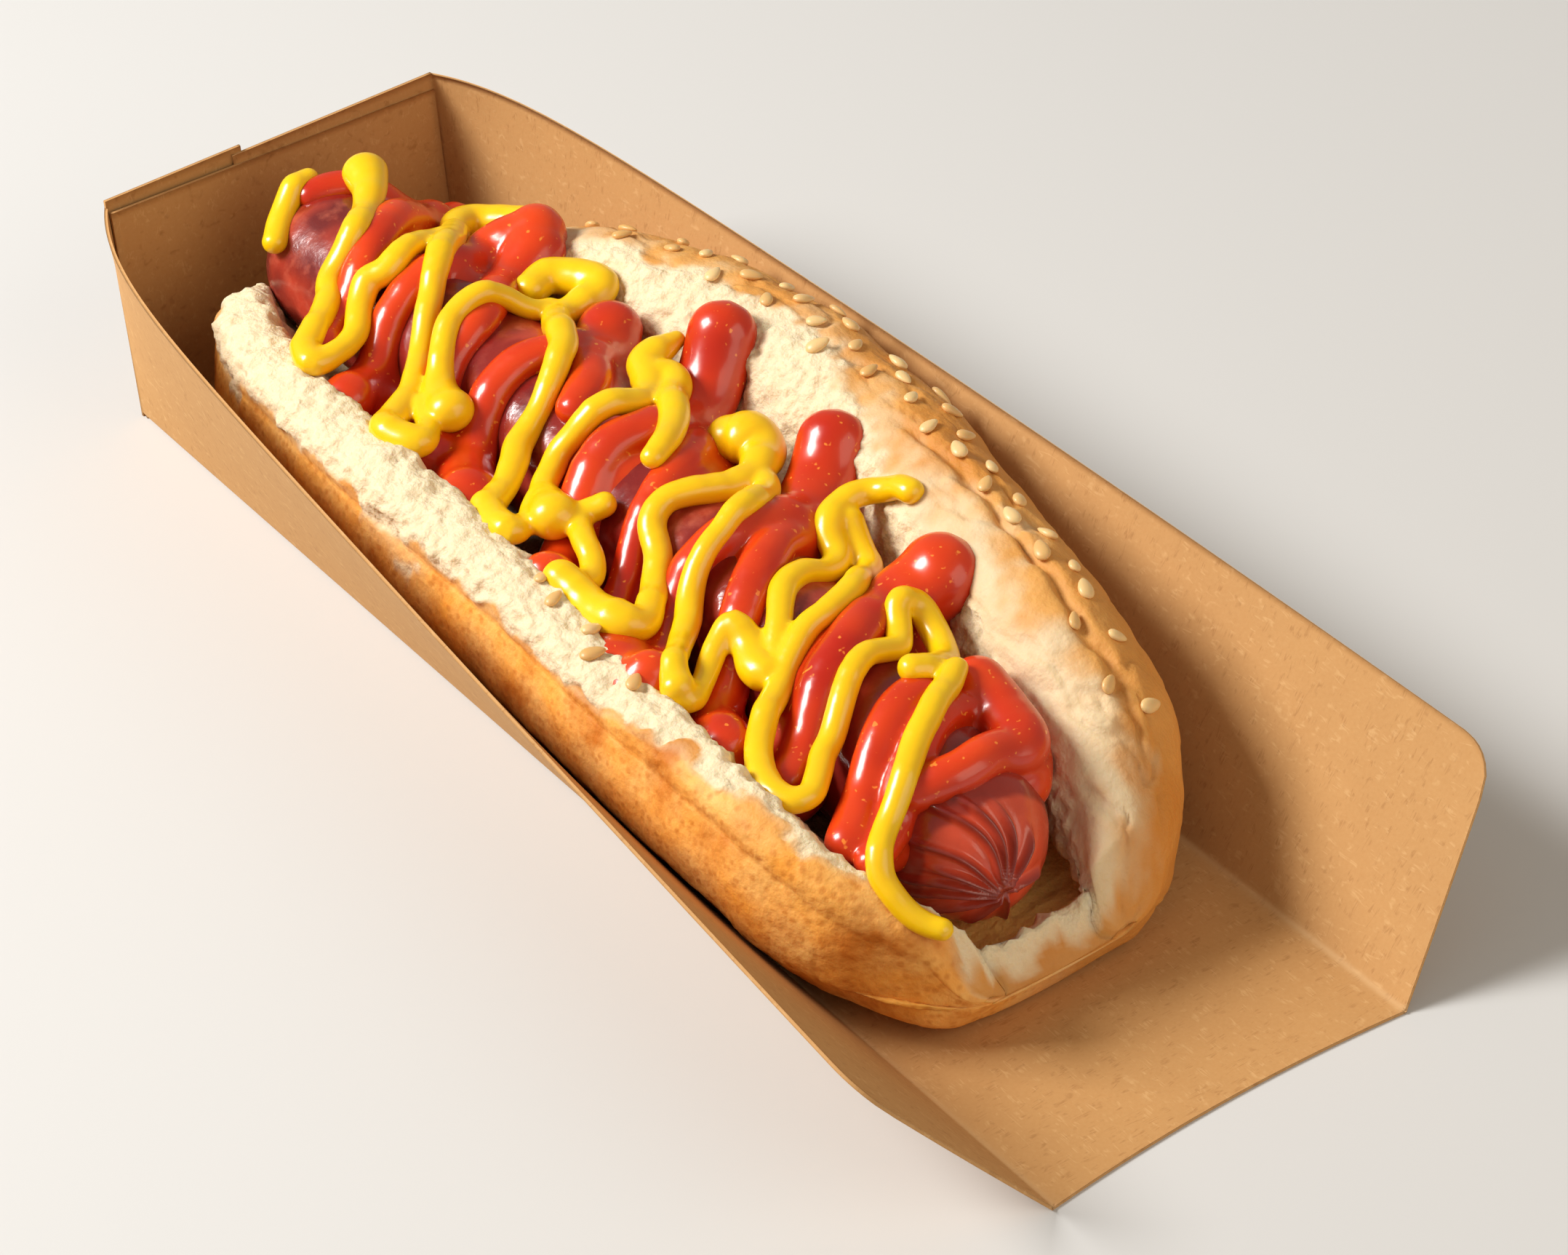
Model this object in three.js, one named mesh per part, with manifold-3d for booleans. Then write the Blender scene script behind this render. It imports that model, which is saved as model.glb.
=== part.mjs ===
// A hot dog in its kraft-board paper case: a split sesame bun, opened like a book,
// with a sausage in the channel and zigzags of ketchup and mustard over it.
// Millimetres, +Z up, +X from the closed back of the case to its open front.
// The origin is under the middle of the whole, on the surface that the case stands on.

import * as THREE from 'three';
import { mergeVertices } from 'three/addons/utils/BufferGeometryUtils.js';
import Module from 'manifold-3d';

const wasm = await Module();
wasm.setup();

// Driving dimensions. Stations are counted from the back of the case.
const CASE_LENGTH = 232;
const CASE_WIDTH = 58;
const BOARD = 0.5;
const BACK_HEIGHT = 38.2;
const FRONT_HEIGHT = 35;
const WALL_TOP_LENGTH = 224.2;
const CORNER_RADIUS = 7;
const FRONT_EDGE_HOLLOW = 1.7;
const FIT_GAP = 0.35;
const SAUSAGE_RADIUS = 12.2;
const BUN_START = 13;
const BUN_END = 202.5;
const BUN_END_ROUND = 8;
const HINGE = { y: -1.5, slit: 0.4 };
const SEED = { length: 3.1, width: 1.9, height: 1.0 };

const toModelX = (station) => station - CASE_LENGTH / 2;

// Cubic through a row of [station, value] pairs, level beyond its ends.
function along(row, x) {
  const last = row.length - 1;
  if (x <= row[0][0]) return row[0][1];
  if (x >= row[last][0]) return row[last][1];
  let i = 0;
  while (row[i + 1][0] < x) i += 1;
  const [x1, v1] = row[i];
  const [x2, v2] = row[i + 1];
  const [x0, v0] = row[Math.max(i - 1, 0)];
  const [x3, v3] = row[Math.min(i + 2, last)];
  const t = (x - x1) / (x2 - x1);
  const slope1 = ((v2 - v0) / (x2 - x0)) * (x2 - x1);
  const slope2 = ((v3 - v1) / (x3 - x1)) * (x2 - x1);
  const t2 = t * t;
  const t3 = t2 * t;
  return (2 * t3 - 3 * t2 + 1) * v1 + (t3 - 2 * t2 + t) * slope1
    + (3 * t2 - 2 * t3) * v2 + (t3 - t2) * slope2;
}

const spread = (from, to, count) =>
  Array.from({ length: count }, (_, i) => from + ((to - from) * i) / (count - 1));

// Solids: closed meshes become manifolds, to be joined or cut, and turn back into geometries.
function solidFromTriangles(points, triangles) {
  return new wasm.Manifold(new wasm.Mesh({
    numProp: 3,
    vertProperties: new Float32Array(points.flat()),
    triVerts: new Uint32Array(triangles.flat()),
  }));
}

function solidFromGeometry(geometry) {
  const bare = geometry.clone();
  bare.deleteAttribute('normal');
  bare.deleteAttribute('uv');
  const merged = mergeVertices(bare, 1e-4);
  return new wasm.Manifold(new wasm.Mesh({
    numProp: 3,
    vertProperties: new Float32Array(merged.attributes.position.array),
    triVerts: new Uint32Array(merged.index.array),
  }));
}

function geometryFromSolid(solid) {
  const { vertProperties, triVerts } = solid.getMesh();
  const geometry = new THREE.BufferGeometry();
  geometry.setAttribute('position', new THREE.BufferAttribute(new Float32Array(vertProperties), 3));
  geometry.setIndex(new THREE.BufferAttribute(new Uint32Array(triVerts), 1));
  geometry.computeVertexNormals();
  return geometry;
}

// A skin over rings of equal, even point counts. Each end is zipped shut, point i to point n - 1 - i.
function loft(rings) {
  const n = rings[0].length;
  const points = rings.flat();
  const triangles = [];
  for (let r = 0; r + 1 < rings.length; r += 1) {
    for (let i = 0; i < n; i += 1) {
      const j = (i + 1) % n;
      const [a, b, c, d] = [r * n + i, r * n + j, (r + 1) * n + j, (r + 1) * n + i];
      triangles.push([a, b, c], [a, c, d]);
    }
  }
  const top = (rings.length - 1) * n;
  for (let i = 0; i < n / 2 - 1; i += 1) {
    const [a, b, c, d] = [i, i + 1, n - 2 - i, n - 1 - i];
    triangles.push([a, c, b], [a, d, c]);
    triangles.push([top + a, top + b, top + c], [top + a, top + c, top + d]);
  }
  const kept = triangles.filter(([a, b, c]) => a !== b && b !== c && a !== c);
  const solid = solidFromTriangles(points, kept);
  return solid.volume() < 0
    ? solidFromTriangles(points, kept.map(([a, b, c]) => [a, c, b]))
    : solid;
}

// The paper case. The side walls stand upright at the back and lean out towards the open front.
const wallLean = (station) =>
  THREE.MathUtils.degToRad(11 * (1 - Math.exp(-station / 13.5)) + (28.5 * station) / WALL_TOP_LENGTH);

function wallHeight(station) {
  const straight = BACK_HEIGHT + ((FRONT_HEIGHT - BACK_HEIGHT) * station) / WALL_TOP_LENGTH;
  const frontRun = CASE_LENGTH - WALL_TOP_LENGTH;
  const slant = Math.hypot(frontRun, FRONT_HEIGHT);
  const centreHeight = FRONT_HEIGHT - CORNER_RADIUS;
  const centre = CASE_LENGTH - (CORNER_RADIUS * slant + frontRun * centreHeight) / FRONT_HEIGHT;
  const arcEnd = centre + (CORNER_RADIUS * FRONT_HEIGHT) / slant;
  if (station < centre) return straight;
  if (station > arcEnd) return ((CASE_LENGTH - station) * FRONT_HEIGHT) / frontRun;
  return centreHeight + Math.sqrt(CORNER_RADIUS ** 2 - (station - centre) ** 2);
}

function wallPoint(station, height, side, offset) {
  const lean = wallLean(station);
  const y = CASE_WIDTH / 2 + height * Math.sin(lean) + offset * Math.cos(lean);
  const z = height * Math.cos(lean) - offset * Math.sin(lean);
  return [toModelX(station), side * y, Math.max(z, 0)];
}

function caseWall(side) {
  const bends = [0, 5, 11, 19, 30, 48, 75, 105, 135, 165, 192, 208, 218.6, 220.5, 222.2, 223.7, 224.8];
  const rings = [...bends, 225.4, CASE_LENGTH - 0.3].map((station) => {
    const heights = spread(0, wallHeight(station), 4);
    const outside = heights.map((h) => wallPoint(station, h, side, 0));
    const inside = heights.map((h) => wallPoint(station, h, side, -BOARD));
    return [...outside, ...inside.reverse()];
  });
  return loft(rings);
}

function boardPanel(x, y, z) {
  const box = new THREE.BoxGeometry(x[1] - x[0], y[1] - y[0], z[1] - z[0]);
  box.translate((x[0] + x[1]) / 2, (y[0] + y[1]) / 2, (z[0] + z[1]) / 2);
  return solidFromGeometry(box);
}

function caseFloor() {
  const half = CASE_WIDTH / 2;
  const front = toModelX(CASE_LENGTH);
  const outline = new THREE.Shape();
  outline.moveTo(toModelX(0), -half);
  outline.lineTo(front, -half);
  outline.quadraticCurveTo(front - 2 * FRONT_EDGE_HOLLOW, 0, front, half);
  outline.lineTo(toModelX(0), half);
  outline.closePath();
  return solidFromGeometry(new THREE.ExtrudeGeometry(outline, {
    depth: BOARD, bevelEnabled: false, curveSegments: 8,
  }));
}

// The back is a panel folded up from the floor, with a tab of each side wall glued behind it.
function caseBack() {
  const back = toModelX(0);
  const half = CASE_WIDTH / 2;
  const panel = boardPanel([back + 2 * BOARD, back + 3 * BOARD], [-half + 0.2, half - 0.2], [0, BACK_HEIGHT - 0.9]);
  const farTab = boardPanel([back + BOARD, back + 2 * BOARD], [-4, half], [0, BACK_HEIGHT + 0.3]);
  const nearTab = boardPanel([back, back + BOARD], [-half, -5.2], [0, BACK_HEIGHT + 1.2]);
  const glue = boardPanel([back, back + 3 * BOARD], [-half, half], [0, BACK_HEIGHT - 4]);
  return panel.add(farTab).add(nearTab).add(glue);
}

const paperCase = caseFloor().add(caseWall(1)).add(caseWall(-1)).add(caseBack());

// The bun is one thick bent slab: a U in section, whose arms are the two halves of the split bun.
// Each row gives the middle of an arm's top edge, or half a thickness, along the bun.
// The halves part at a fine slit along the hinge, under the sausage.
const BUN = {
  nearY: [[13, -13.5], [22, -19.5], [40, -25.5], [75, -28.8], [110, -29.2], [145, -31], [175, -31.5], [189, -28], [198, -21], [205, -13]],
  nearZ: [[13, 18.5], [22, 24], [40, 27.5], [75, 29.5], [110, 29.5], [145, 29], [175, 28], [189, 23], [198, 17], [205, 8]],
  nearHalf: [[13, 5.2], [40, 5.4], [110, 5.2], [160, 4.2], [205, 3.6]],
  nearBelly: [[13, 7.4], [40, 9], [110, 9], [160, 8.2], [190, 7.2], [205, 3.4]],
  nearFoot: [[13, 0.66], [150, 0.66], [180, 0.74], [196, 0.84], [205, 0.84]],
  farY: [[13, 7], [30, 16], [60, 26], [90, 31], [115, 31], [145, 26.5], [172, 21.5], [186, 18.5], [195, 14], [205, 4]],
  farZ: [[13, 15], [30, 22], [60, 27.5], [90, 29], [115, 29], [145, 28], [172, 25], [186, 20], [195, 14], [205, 6.5]],
  farHalf: [[13, 6], [30, 7.5], [50, 9.5], [75, 10.5], [110, 10.5], [150, 10.2], [186, 10.2], [205, 6]],
  baseHalf: [[13, 3.4], [24, 4], [42, 6.2], [75, 5], [140, 4.3], [185, 3.2], [193, 3.1], [199, 4.2], [205, 4.6]],
};

function bunSection(station, grow) {
  const value = (name) => along(BUN[name], station);
  const fromEnd = Math.min(station - BUN_START, BUN_END - station);
  const round = Math.sqrt(Math.max(1 - (1 - Math.min(fromEnd / BUN_END_ROUND, 1)) ** 2, 0.06));
  const [nearY, farY] = [value('nearY'), value('farY')];
  const base = value('baseHalf');
  const floor = BOARD + FIT_GAP + base;
  const knee = (tip) => Math.max(0.58 * tip, Math.min(floor + 3.6, tip - 2));
  const spine = new THREE.SplineCurve([
    new THREE.Vector2(nearY, value('nearZ')),
    new THREE.Vector2(0.92 * nearY, knee(value('nearZ'))),
    new THREE.Vector2(value('nearFoot') * nearY, floor + 1.6),
    new THREE.Vector2((nearY + farY) / 2, floor),
    new THREE.Vector2(0.62 * farY, floor + 1.6),
    new THREE.Vector2(0.86 * farY, knee(value('farZ'))),
    new THREE.Vector2(farY, value('farZ')),
  ]);
  const halves = [
    [0, value('nearHalf')], [0.17, value('nearBelly')], [0.34, 1.15 * base], [0.5, base],
    [0.66, 1.2 * base], [0.83, 1.02 * value('farHalf')], [1, value('farHalf')],
  ];
  const half = (v) => along(halves, v) * round + grow;
  const at = (v, sideways, outwards) => {
    const point = spine.getPoint(v);
    const way = spine.getTangent(v);
    return [point.x + way.y * sideways + way.x * outwards, point.y - way.x * sideways + way.y * outwards];
  };
  const spots = spread(0, 1, 11);
  const capAngles = spread(0, Math.PI, 6).slice(1, -1);
  const outer = spots.map((v) => at(v, -half(v), 0));
  const farCap = capAngles.map((a) => at(1, -half(1) * Math.cos(a), 0.95 * half(1) * Math.sin(a)));
  const inner = [...spots].reverse().map((v) => at(v, half(v), 0));
  const nearCap = capAngles.map((a) => at(0, half(0) * Math.cos(a), -0.95 * half(0) * Math.sin(a)));
  return [...outer, ...farCap, ...inner, ...nearCap];
}

function bunSolid(grow) {
  const ends = spread(0, 1, 5).map((t) => BUN_END_ROUND * (1 - Math.cos((t * Math.PI) / 2)));
  const stations = [
    ...ends.map((t) => BUN_START + t),
    ...spread(BUN_START + BUN_END_ROUND, BUN_END - BUN_END_ROUND, 19).slice(1, -1),
    ...ends.reverse().map((t) => BUN_END - t),
  ];
  const rings = stations.map((station) => bunSection(station, grow).map(([y, z]) => {
    const lean = wallLean(station);
    const room = CASE_WIDTH / 2 - (BOARD + FIT_GAP + 0.1) / Math.cos(lean);
    const inside = room + Math.min(Math.max(z, 0), BACK_HEIGHT) * Math.tan(lean);
    const height = Math.max(z, BOARD + FIT_GAP);
    return [toModelX(station), THREE.MathUtils.clamp(y, -inside, inside), height];
  }));
  return loft(rings);
}

// The sausage is a bent capsule. Its front end is drawn together in folds.
const SAUSAGE_LINE = {
  y: [[11, -2.5], [60, -1], [110, -1.5], [150, -4], [195, -6.5]],
  z: [[11, 27.5], [60, 25], [110, 23.2], [150, 21.5], [195, 18.8]],
};
const SAUSAGE_START = 11.5;
const SAUSAGE_END = 196;
const END_RADIUS = 11;

function sausageSolid(grow) {
  const count = 22;
  const rings = spread(0, 1, count).map((t) => {
    const eased = 0.5 - 0.5 * Math.cos(Math.PI * t);
    const station = SAUSAGE_START - grow + (SAUSAGE_END - SAUSAGE_START + 2 * grow) * (0.45 * t + 0.55 * eased);
    const endRun = Math.min(station - SAUSAGE_START + grow, SAUSAGE_END + grow - station);
    const cap = Math.sqrt(1 - (1 - Math.min(Math.max(endRun, 0.03) / END_RADIUS, 1)) ** 2);
    const body = THREE.MathUtils.smoothstep(endRun, 0, 45);
    const radius = (END_RADIUS + (SAUSAGE_RADIUS - END_RADIUS) * body) * cap + grow;
    const nearFront = THREE.MathUtils.clamp((station - (SAUSAGE_END - 13)) / 13, 0, 1);
    return spread(0, 2 * Math.PI, 21).slice(0, -1).map((a) => {
      const fold = 1 - (grow > 0 ? 0 : 0.05) * nearFront * (0.5 + 0.5 * Math.cos(5 * a));
      return [
        toModelX(station),
        along(SAUSAGE_LINE.y, station) + radius * fold * Math.cos(a),
        along(SAUSAGE_LINE.z, station) + radius * fold * Math.sin(a),
      ];
    });
  });
  return loft(rings);
}

// Seeds lie on the far half's dome, and a few on the front of the near half's rim.
// Each row is [station, y]: the height is found on the bun.
const SEEDS = [
  [46, 29], [53, 31], [58, 27], [62, 35], [66, 30], [71, 33], [74, 37], [78, 29], [82, 34], [85, 38],
  [89, 31], [92, 36], [95, 40], [99, 33], [101, 38], [104, 29], [107, 35], [111, 39], [113, 32], [117, 36],
  [120, 40], [123, 33], [127, 37], [130, 31], [133, 35], [137, 30], [141, 33], [145, 28], [149, 32], [153, 27],
  [157, 30], [161, 25], [165, 29], [170, 27], [174, 22], [178, 26], [184, 20], [188, 23],
  [118, -27], [124, -29], [131, -28], [137, -31], [146, -30],
];

// Drizzles. Each strand is a row of [station, y] places where it lies, near side below zero.
const KETCHUP_RADIUS = 2.7;
const KETCHUP = [
  [[13, -7], [15, -2], [19, 4], [22, 9], [23, 14]],
  [[24, 12], [29, 5], [35, -2], [40, -9], [43, -15], [46, -19]],
  [[47, 18], [49, 10], [49, 3], [48, -4], [49, -11], [53, -17], [58, -22]],
  [[48, 16], [54, 8], [60, 2], [64, -3], [66, -9], [70, -15], [77, -20]],
  [[73, 15], [74, 8], [76, 1], [75, -5], [78, -12], [83, -18], [88, -22]],
  [[74, 13], [82, 7], [87, 1], [92, -7]],
  [[90, 23], [93, 16], [96, 9], [99, 2], [100, -5], [103, -11], [108, -18], [112, -23]],
  [[96, 11], [104, 6], [110, 1], [112, -5], [114, -11], [119, -17]],
  [[119, 21], [124, 13], [128, 6], [127, -1], [126, -7], [129, -14], [136, -21], [141, -26]],
  [[128, 8], [135, 3], [138, -4], [141, -10], [146, -16], [152, -21], [158, -25]],
  [[151, 17], [151, 10], [155, 3], [157, -3], [159, -9], [162, -14]],
  [[172, 7], [170, 2], [170, -4], [172, -10], [176, -16], [180, -21], [186, -25]],
  [[172, 6], [179, 5], [183, 1], [184, -4], [186, -9], [183, -14]],
];
const MUSTARD_RADIUS = 1.85;
const MUSTARD = [
  [[18, 3], [15.5, -2], [16, -7], [18, -11]],
  [[20, 5], [25, 3], [29, 0], [34, -5], [36, -11], [40, -14], [44, -18], [48, -23]],
  [[48, -23], [52, -23], [50, -15], [46, -12], [44, -9], [43, -1], [41, 6]],
  [[41, 21], [36, 21], [31, 17], [32, 13], [37, 10], [43, 6], [52, -3], [60, -10], [67, -17], [71, -22]],
  [[71, -22], [75, -24], [78, -22], [76, -19], [71, -16]],
  [[76, -15], [71, -14], [67, -11], [63, -7], [62, -3], [63, 2], [65, 9]],
  [[58, 10], [57, 14], [61, 17], [65, 17], [67, 10], [72, 6], [80, 2], [86, -7], [91, -14], [97, -22]],
  [[97, -23], [103, -24], [103, -20], [99, -15]],
  [[106, -17], [102, -16], [98, -14], [95, -9], [95, -4], [96, 4], [88, 11], [85, 17]],
  [[90, 9], [92, 12], [97, 9], [104, 5], [110, -3]],
  [[109, -11], [108, -14], [113, -17], [120, -23]],
  [[119, -24], [127, -24], [132, -23], [130, -17], [123, -11], [117, -6], [118, 1], [118, 8], [112, 14], [107, 12]],
  [[118, 9], [123, 7], [129, -3], [132, -12], [137, -16], [143, -22], [149, -26]],
  [[149, -26], [148, -21], [144, -15], [147, -13], [152, -14], [150, -10], [144, -5], [141, 0]],
  [[141, 0], [140, 4], [137, 9], [132, 13], [132, 18], [138, 20]],
  [[135, 13], [141, 11], [146, 6], [150, -1], [152, -9], [157, -16], [163, -23], [169, -27]],
  [[169, -27], [175, -26], [173, -20], [168, -14], [163, -6], [161, 0]],
  [[161, 0], [157, 5], [158, 9], [163, 7], [168, 3], [168, -1]],
  [[171, 4], [175, -2], [180, -9], [185, -17], [190, -23], [199, -22]],
];

// The height of everything that lies under each place, seen from above, on a grid of 1 mm.
const MAP = { x0: -116, y0: -50, nx: 233, ny: 101 };
const GROOVE = 6;

function heightMap(solids) {
  const heights = new Float32Array(MAP.nx * MAP.ny).fill(8);
  for (const solid of solids) {
    const { vertProperties: v, triVerts: t } = solid.getMesh();
    for (let k = 0; k < t.length; k += 3) {
      const [a, b, c] = [t[k] * 3, t[k + 1] * 3, t[k + 2] * 3];
      const area = (v[b] - v[a]) * (v[c + 1] - v[a + 1]) - (v[c] - v[a]) * (v[b + 1] - v[a + 1]);
      if (area <= 1e-9) continue;
      const low = (i) => Math.ceil(Math.min(v[a + i], v[b + i], v[c + i]));
      const high = (i) => Math.floor(Math.max(v[a + i], v[b + i], v[c + i]));
      for (let x = low(0); x <= high(0); x += 1) {
        for (let y = low(1); y <= high(1); y += 1) {
          const wb = ((x - v[a]) * (v[c + 1] - v[a + 1]) - (v[c] - v[a]) * (y - v[a + 1])) / area;
          const wc = ((v[b] - v[a]) * (y - v[a + 1]) - (x - v[a]) * (v[b + 1] - v[a + 1])) / area;
          if (wb < 0 || wc < 0 || wb + wc > 1) continue;
          const z = v[a + 2] + wb * (v[b + 2] - v[a + 2]) + wc * (v[c + 2] - v[a + 2]);
          const cell = (x - MAP.x0) * MAP.ny + (y - MAP.y0);
          heights[cell] = Math.max(heights[cell], z);
        }
      }
    }
  }
  // Grooves narrower than the ball are filled, as the sauce fills them.
  const balls = [];
  for (let i = -GROOVE; i <= GROOVE; i += 1) {
    for (let j = -GROOVE; j <= GROOVE; j += 1) if (i * i + j * j <= GROOVE * GROOVE) balls.push([i, j]);
  }
  const sweep = (from, pick) => from.map((_, cell) => {
    const [i, j] = [Math.floor(cell / MAP.ny), cell % MAP.ny];
    return balls.reduce((best, [di, dj]) => {
      const [u, w] = [i + di, j + dj];
      const inside = u >= 0 && w >= 0 && u < MAP.nx && w < MAP.ny;
      return inside ? pick(best, from[u * MAP.ny + w]) : best;
    }, from[cell]);
  });
  const filled = sweep(sweep(heights, Math.max), Math.min);
  return (x, y) => {
    const fx = THREE.MathUtils.clamp(x - MAP.x0, 0, MAP.nx - 1.001);
    const fy = THREE.MathUtils.clamp(y - MAP.y0, 0, MAP.ny - 1.001);
    const [i, j] = [Math.floor(fx), Math.floor(fy)];
    const at = (di, dj) => filled[(i + di) * MAP.ny + j + dj];
    const [u, w] = [fx - i, fy - j];
    return (at(0, 0) * (1 - u) + at(1, 0) * u) * (1 - w) + (at(0, 1) * (1 - u) + at(1, 1) * u) * w;
  };
}

// A strand hangs like a taut rope over what it crosses, with a rounded blob at each end.
function strand(places, radius, sides, height) {
  const flat = new THREE.CatmullRomCurve3(places.map(([x, y]) => new THREE.Vector3(toModelX(x), y, 0)));
  const fine = flat.getSpacedPoints(Math.max(Math.round(flat.getLength() / 1.2), 6));
  const rest = fine.map((p) => height(p.x, p.y) + 0.35 * radius);
  const z = [...rest];
  for (let pass = 0; pass < 60; pass += 1) {
    for (let i = 0; i < z.length; i += 1) {
      const [before, after] = [z[Math.max(i - 1, 0)], z[Math.min(i + 1, z.length - 1)]];
      z[i] = Math.max(rest[i], (before + after) / 2 - 0.02);
    }
  }
  const rope = new THREE.CatmullRomCurve3(fine.map((p, i) => new THREE.Vector3(p.x, p.y, z[i])));
  const length = rope.getLength();
  const middle = Math.max(Math.round(length / 8.5), 3);
  const tips = [0.15 * radius, 0.9 * radius];
  const lengths = [...tips, ...spread(2.2 * radius, length - 2.2 * radius, middle),
    ...tips.reverse().map((tip) => length - tip)];
  const rings = lengths.map((l) => {
    const t = THREE.MathUtils.clamp(l / length, 0, 1);
    const fromEnd = Math.min(l, length - l);
    const blob = 1 + 0.25 * Math.exp(-((fromEnd / radius - 1.2) ** 2));
    const r = radius * blob * Math.sqrt(1 - (1 - Math.min(fromEnd / radius, 1)) ** 2);
    const centre = rope.getPointAt(t);
    const way = rope.getTangentAt(t);
    const side = new THREE.Vector3().crossVectors(way, new THREE.Vector3(0, 0, 1)).normalize();
    const up = new THREE.Vector3().crossVectors(side, way);
    return spread(0, 2 * Math.PI, sides + 1).slice(0, -1).map((angle) => centre.clone()
      .addScaledVector(side, 1.08 * r * Math.cos(angle))
      .addScaledVector(up, 0.95 * r * Math.sin(angle))
      .toArray());
  });
  return loft(rings);
}

// A seed is a low pointed pebble, laid flat on the crust and turned by its own angle.
function seed([station, y], index, height) {
  const pebble = new THREE.SphereGeometry(1, 6, 3);
  pebble.scale(SEED.length / 2, SEED.width / 2, SEED.height / 2);
  const x = toModelX(station);
  const slope = new THREE.Vector3(
    height(x - 1.5, y) - height(x + 1.5, y),
    height(x, y - 1.5) - height(x, y + 1.5),
    3,
  ).normalize();
  pebble.rotateZ(index * 2.4);
  pebble.applyQuaternion(new THREE.Quaternion().setFromUnitVectors(new THREE.Vector3(0, 0, 1), slope));
  pebble.translate(x, y, height(x, y) + 0.12);
  return solidFromGeometry(pebble);
}

// Only the piece that holds together is kept: trimming can leave crumbs behind.
function largestPiece(solid) {
  const pieces = solid.decompose();
  return pieces.reduce((best, next) => (next.volume() > best.volume() ? next : best));
}

const plainBun = bunSolid(0).subtract(sausageSolid(FIT_GAP));
const onBun = heightMap([plainBun]);

// One half of the bun with its own seeds: all that lies on one side of the hinge.
function bunHalf(side) {
  const cut = HINGE.y + (side * HINGE.slit) / 2;
  const room = boardPanel(
    [toModelX(BUN_START + 0.05), toModelX(BUN_END - 0.05)],
    side < 0 ? [-60, cut] : [cut, 60],
    [0, 60],
  );
  const seeds = SEEDS.map((place, i) => [place, i]).filter(([[, y]]) => y * side > 0);
  const plain = largestPiece(plainBun.intersect(room).simplify(0.02));
  return largestPiece(seeds.reduce((whole, [place, i]) => whole.add(seed(place, i, onBun)), plain).simplify(0.01));
}

const bunBottom = bunHalf(-1);
const bunTop = bunHalf(1);

const plainSausage = sausageSolid(0).subtract(bunSolid(FIT_GAP));
const onSausage = heightMap([plainSausage, plainBun]);
const ketchup = KETCHUP.map((places) => strand(places, KETCHUP_RADIUS, 6, onSausage));
const onKetchup = heightMap([plainSausage, plainBun, ...ketchup]);
const mustard = MUSTARD.map((places) => strand(places, MUSTARD_RADIUS, 6, onKetchup));
const dressed = [...ketchup, ...mustard].reduce((whole, next) => whole.add(next), plainSausage);
const sausage = largestPiece(dressed.subtract(bunSolid(FIT_GAP)));

// Finishes.
const finish = (color, roughness) => new THREE.MeshStandardMaterial({ color, roughness, metalness: 0 });

function piece(name, solid, material) {
  const mesh = new THREE.Mesh(geometryFromSolid(solid), material);
  mesh.name = name;
  return mesh;
}

const hotDog = new THREE.Group();
hotDog.add(piece('paper_case', paperCase, finish(0xb98550, 0.85)));
hotDog.add(piece('bun_bottom', bunBottom, finish(0xe2b06a, 0.7)));
hotDog.add(piece('bun_top', bunTop, finish(0xe2b06a, 0.7)));
hotDog.add(piece('sausage', sausage, finish(0xa8402c, 0.35)));

export default hotDog;
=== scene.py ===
import math

import bpy
import numpy as np
from mathutils import Matrix, Vector


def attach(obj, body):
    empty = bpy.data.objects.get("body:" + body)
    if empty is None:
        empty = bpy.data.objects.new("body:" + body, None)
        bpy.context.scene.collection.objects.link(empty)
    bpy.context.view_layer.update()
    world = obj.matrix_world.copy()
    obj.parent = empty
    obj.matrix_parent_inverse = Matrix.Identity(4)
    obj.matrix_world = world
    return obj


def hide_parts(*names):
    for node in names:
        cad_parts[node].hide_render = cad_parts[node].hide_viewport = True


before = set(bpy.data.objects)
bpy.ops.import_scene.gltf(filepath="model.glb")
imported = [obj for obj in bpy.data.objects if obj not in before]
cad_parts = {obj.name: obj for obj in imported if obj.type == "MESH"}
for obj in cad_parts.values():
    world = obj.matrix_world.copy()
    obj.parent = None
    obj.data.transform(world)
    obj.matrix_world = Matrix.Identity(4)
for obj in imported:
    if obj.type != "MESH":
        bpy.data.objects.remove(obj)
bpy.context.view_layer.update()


# The case is one sheet of brown kraft board, half a millimetre thick, scored and folded up
# into two long walls and a back. The walls stand upright at the back, where a tab of each
# is glued behind the back panel, and lean outwards towards the open front.
MM = 0.001
CASE_LENGTH, CASE_WIDTH, BOARD = 232.0, 58.0, 0.5
BACK_HEIGHT, FRONT_HEIGHT, WALL_TOP_LENGTH = 38.2, 35.0, 224.2
CORNER_RADIUS, FRONT_EDGE_HOLLOW, FOLD_ROUND = 7.0, 1.7, 1.1


def wall_lean(station):
    """The wall's lean in radians: 11 degrees soon after the back, and 28.5 more to the front."""
    return np.radians(11 * (1 - np.exp(-station / 13.5)) + 28.5 * station / WALL_TOP_LENGTH)


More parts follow.
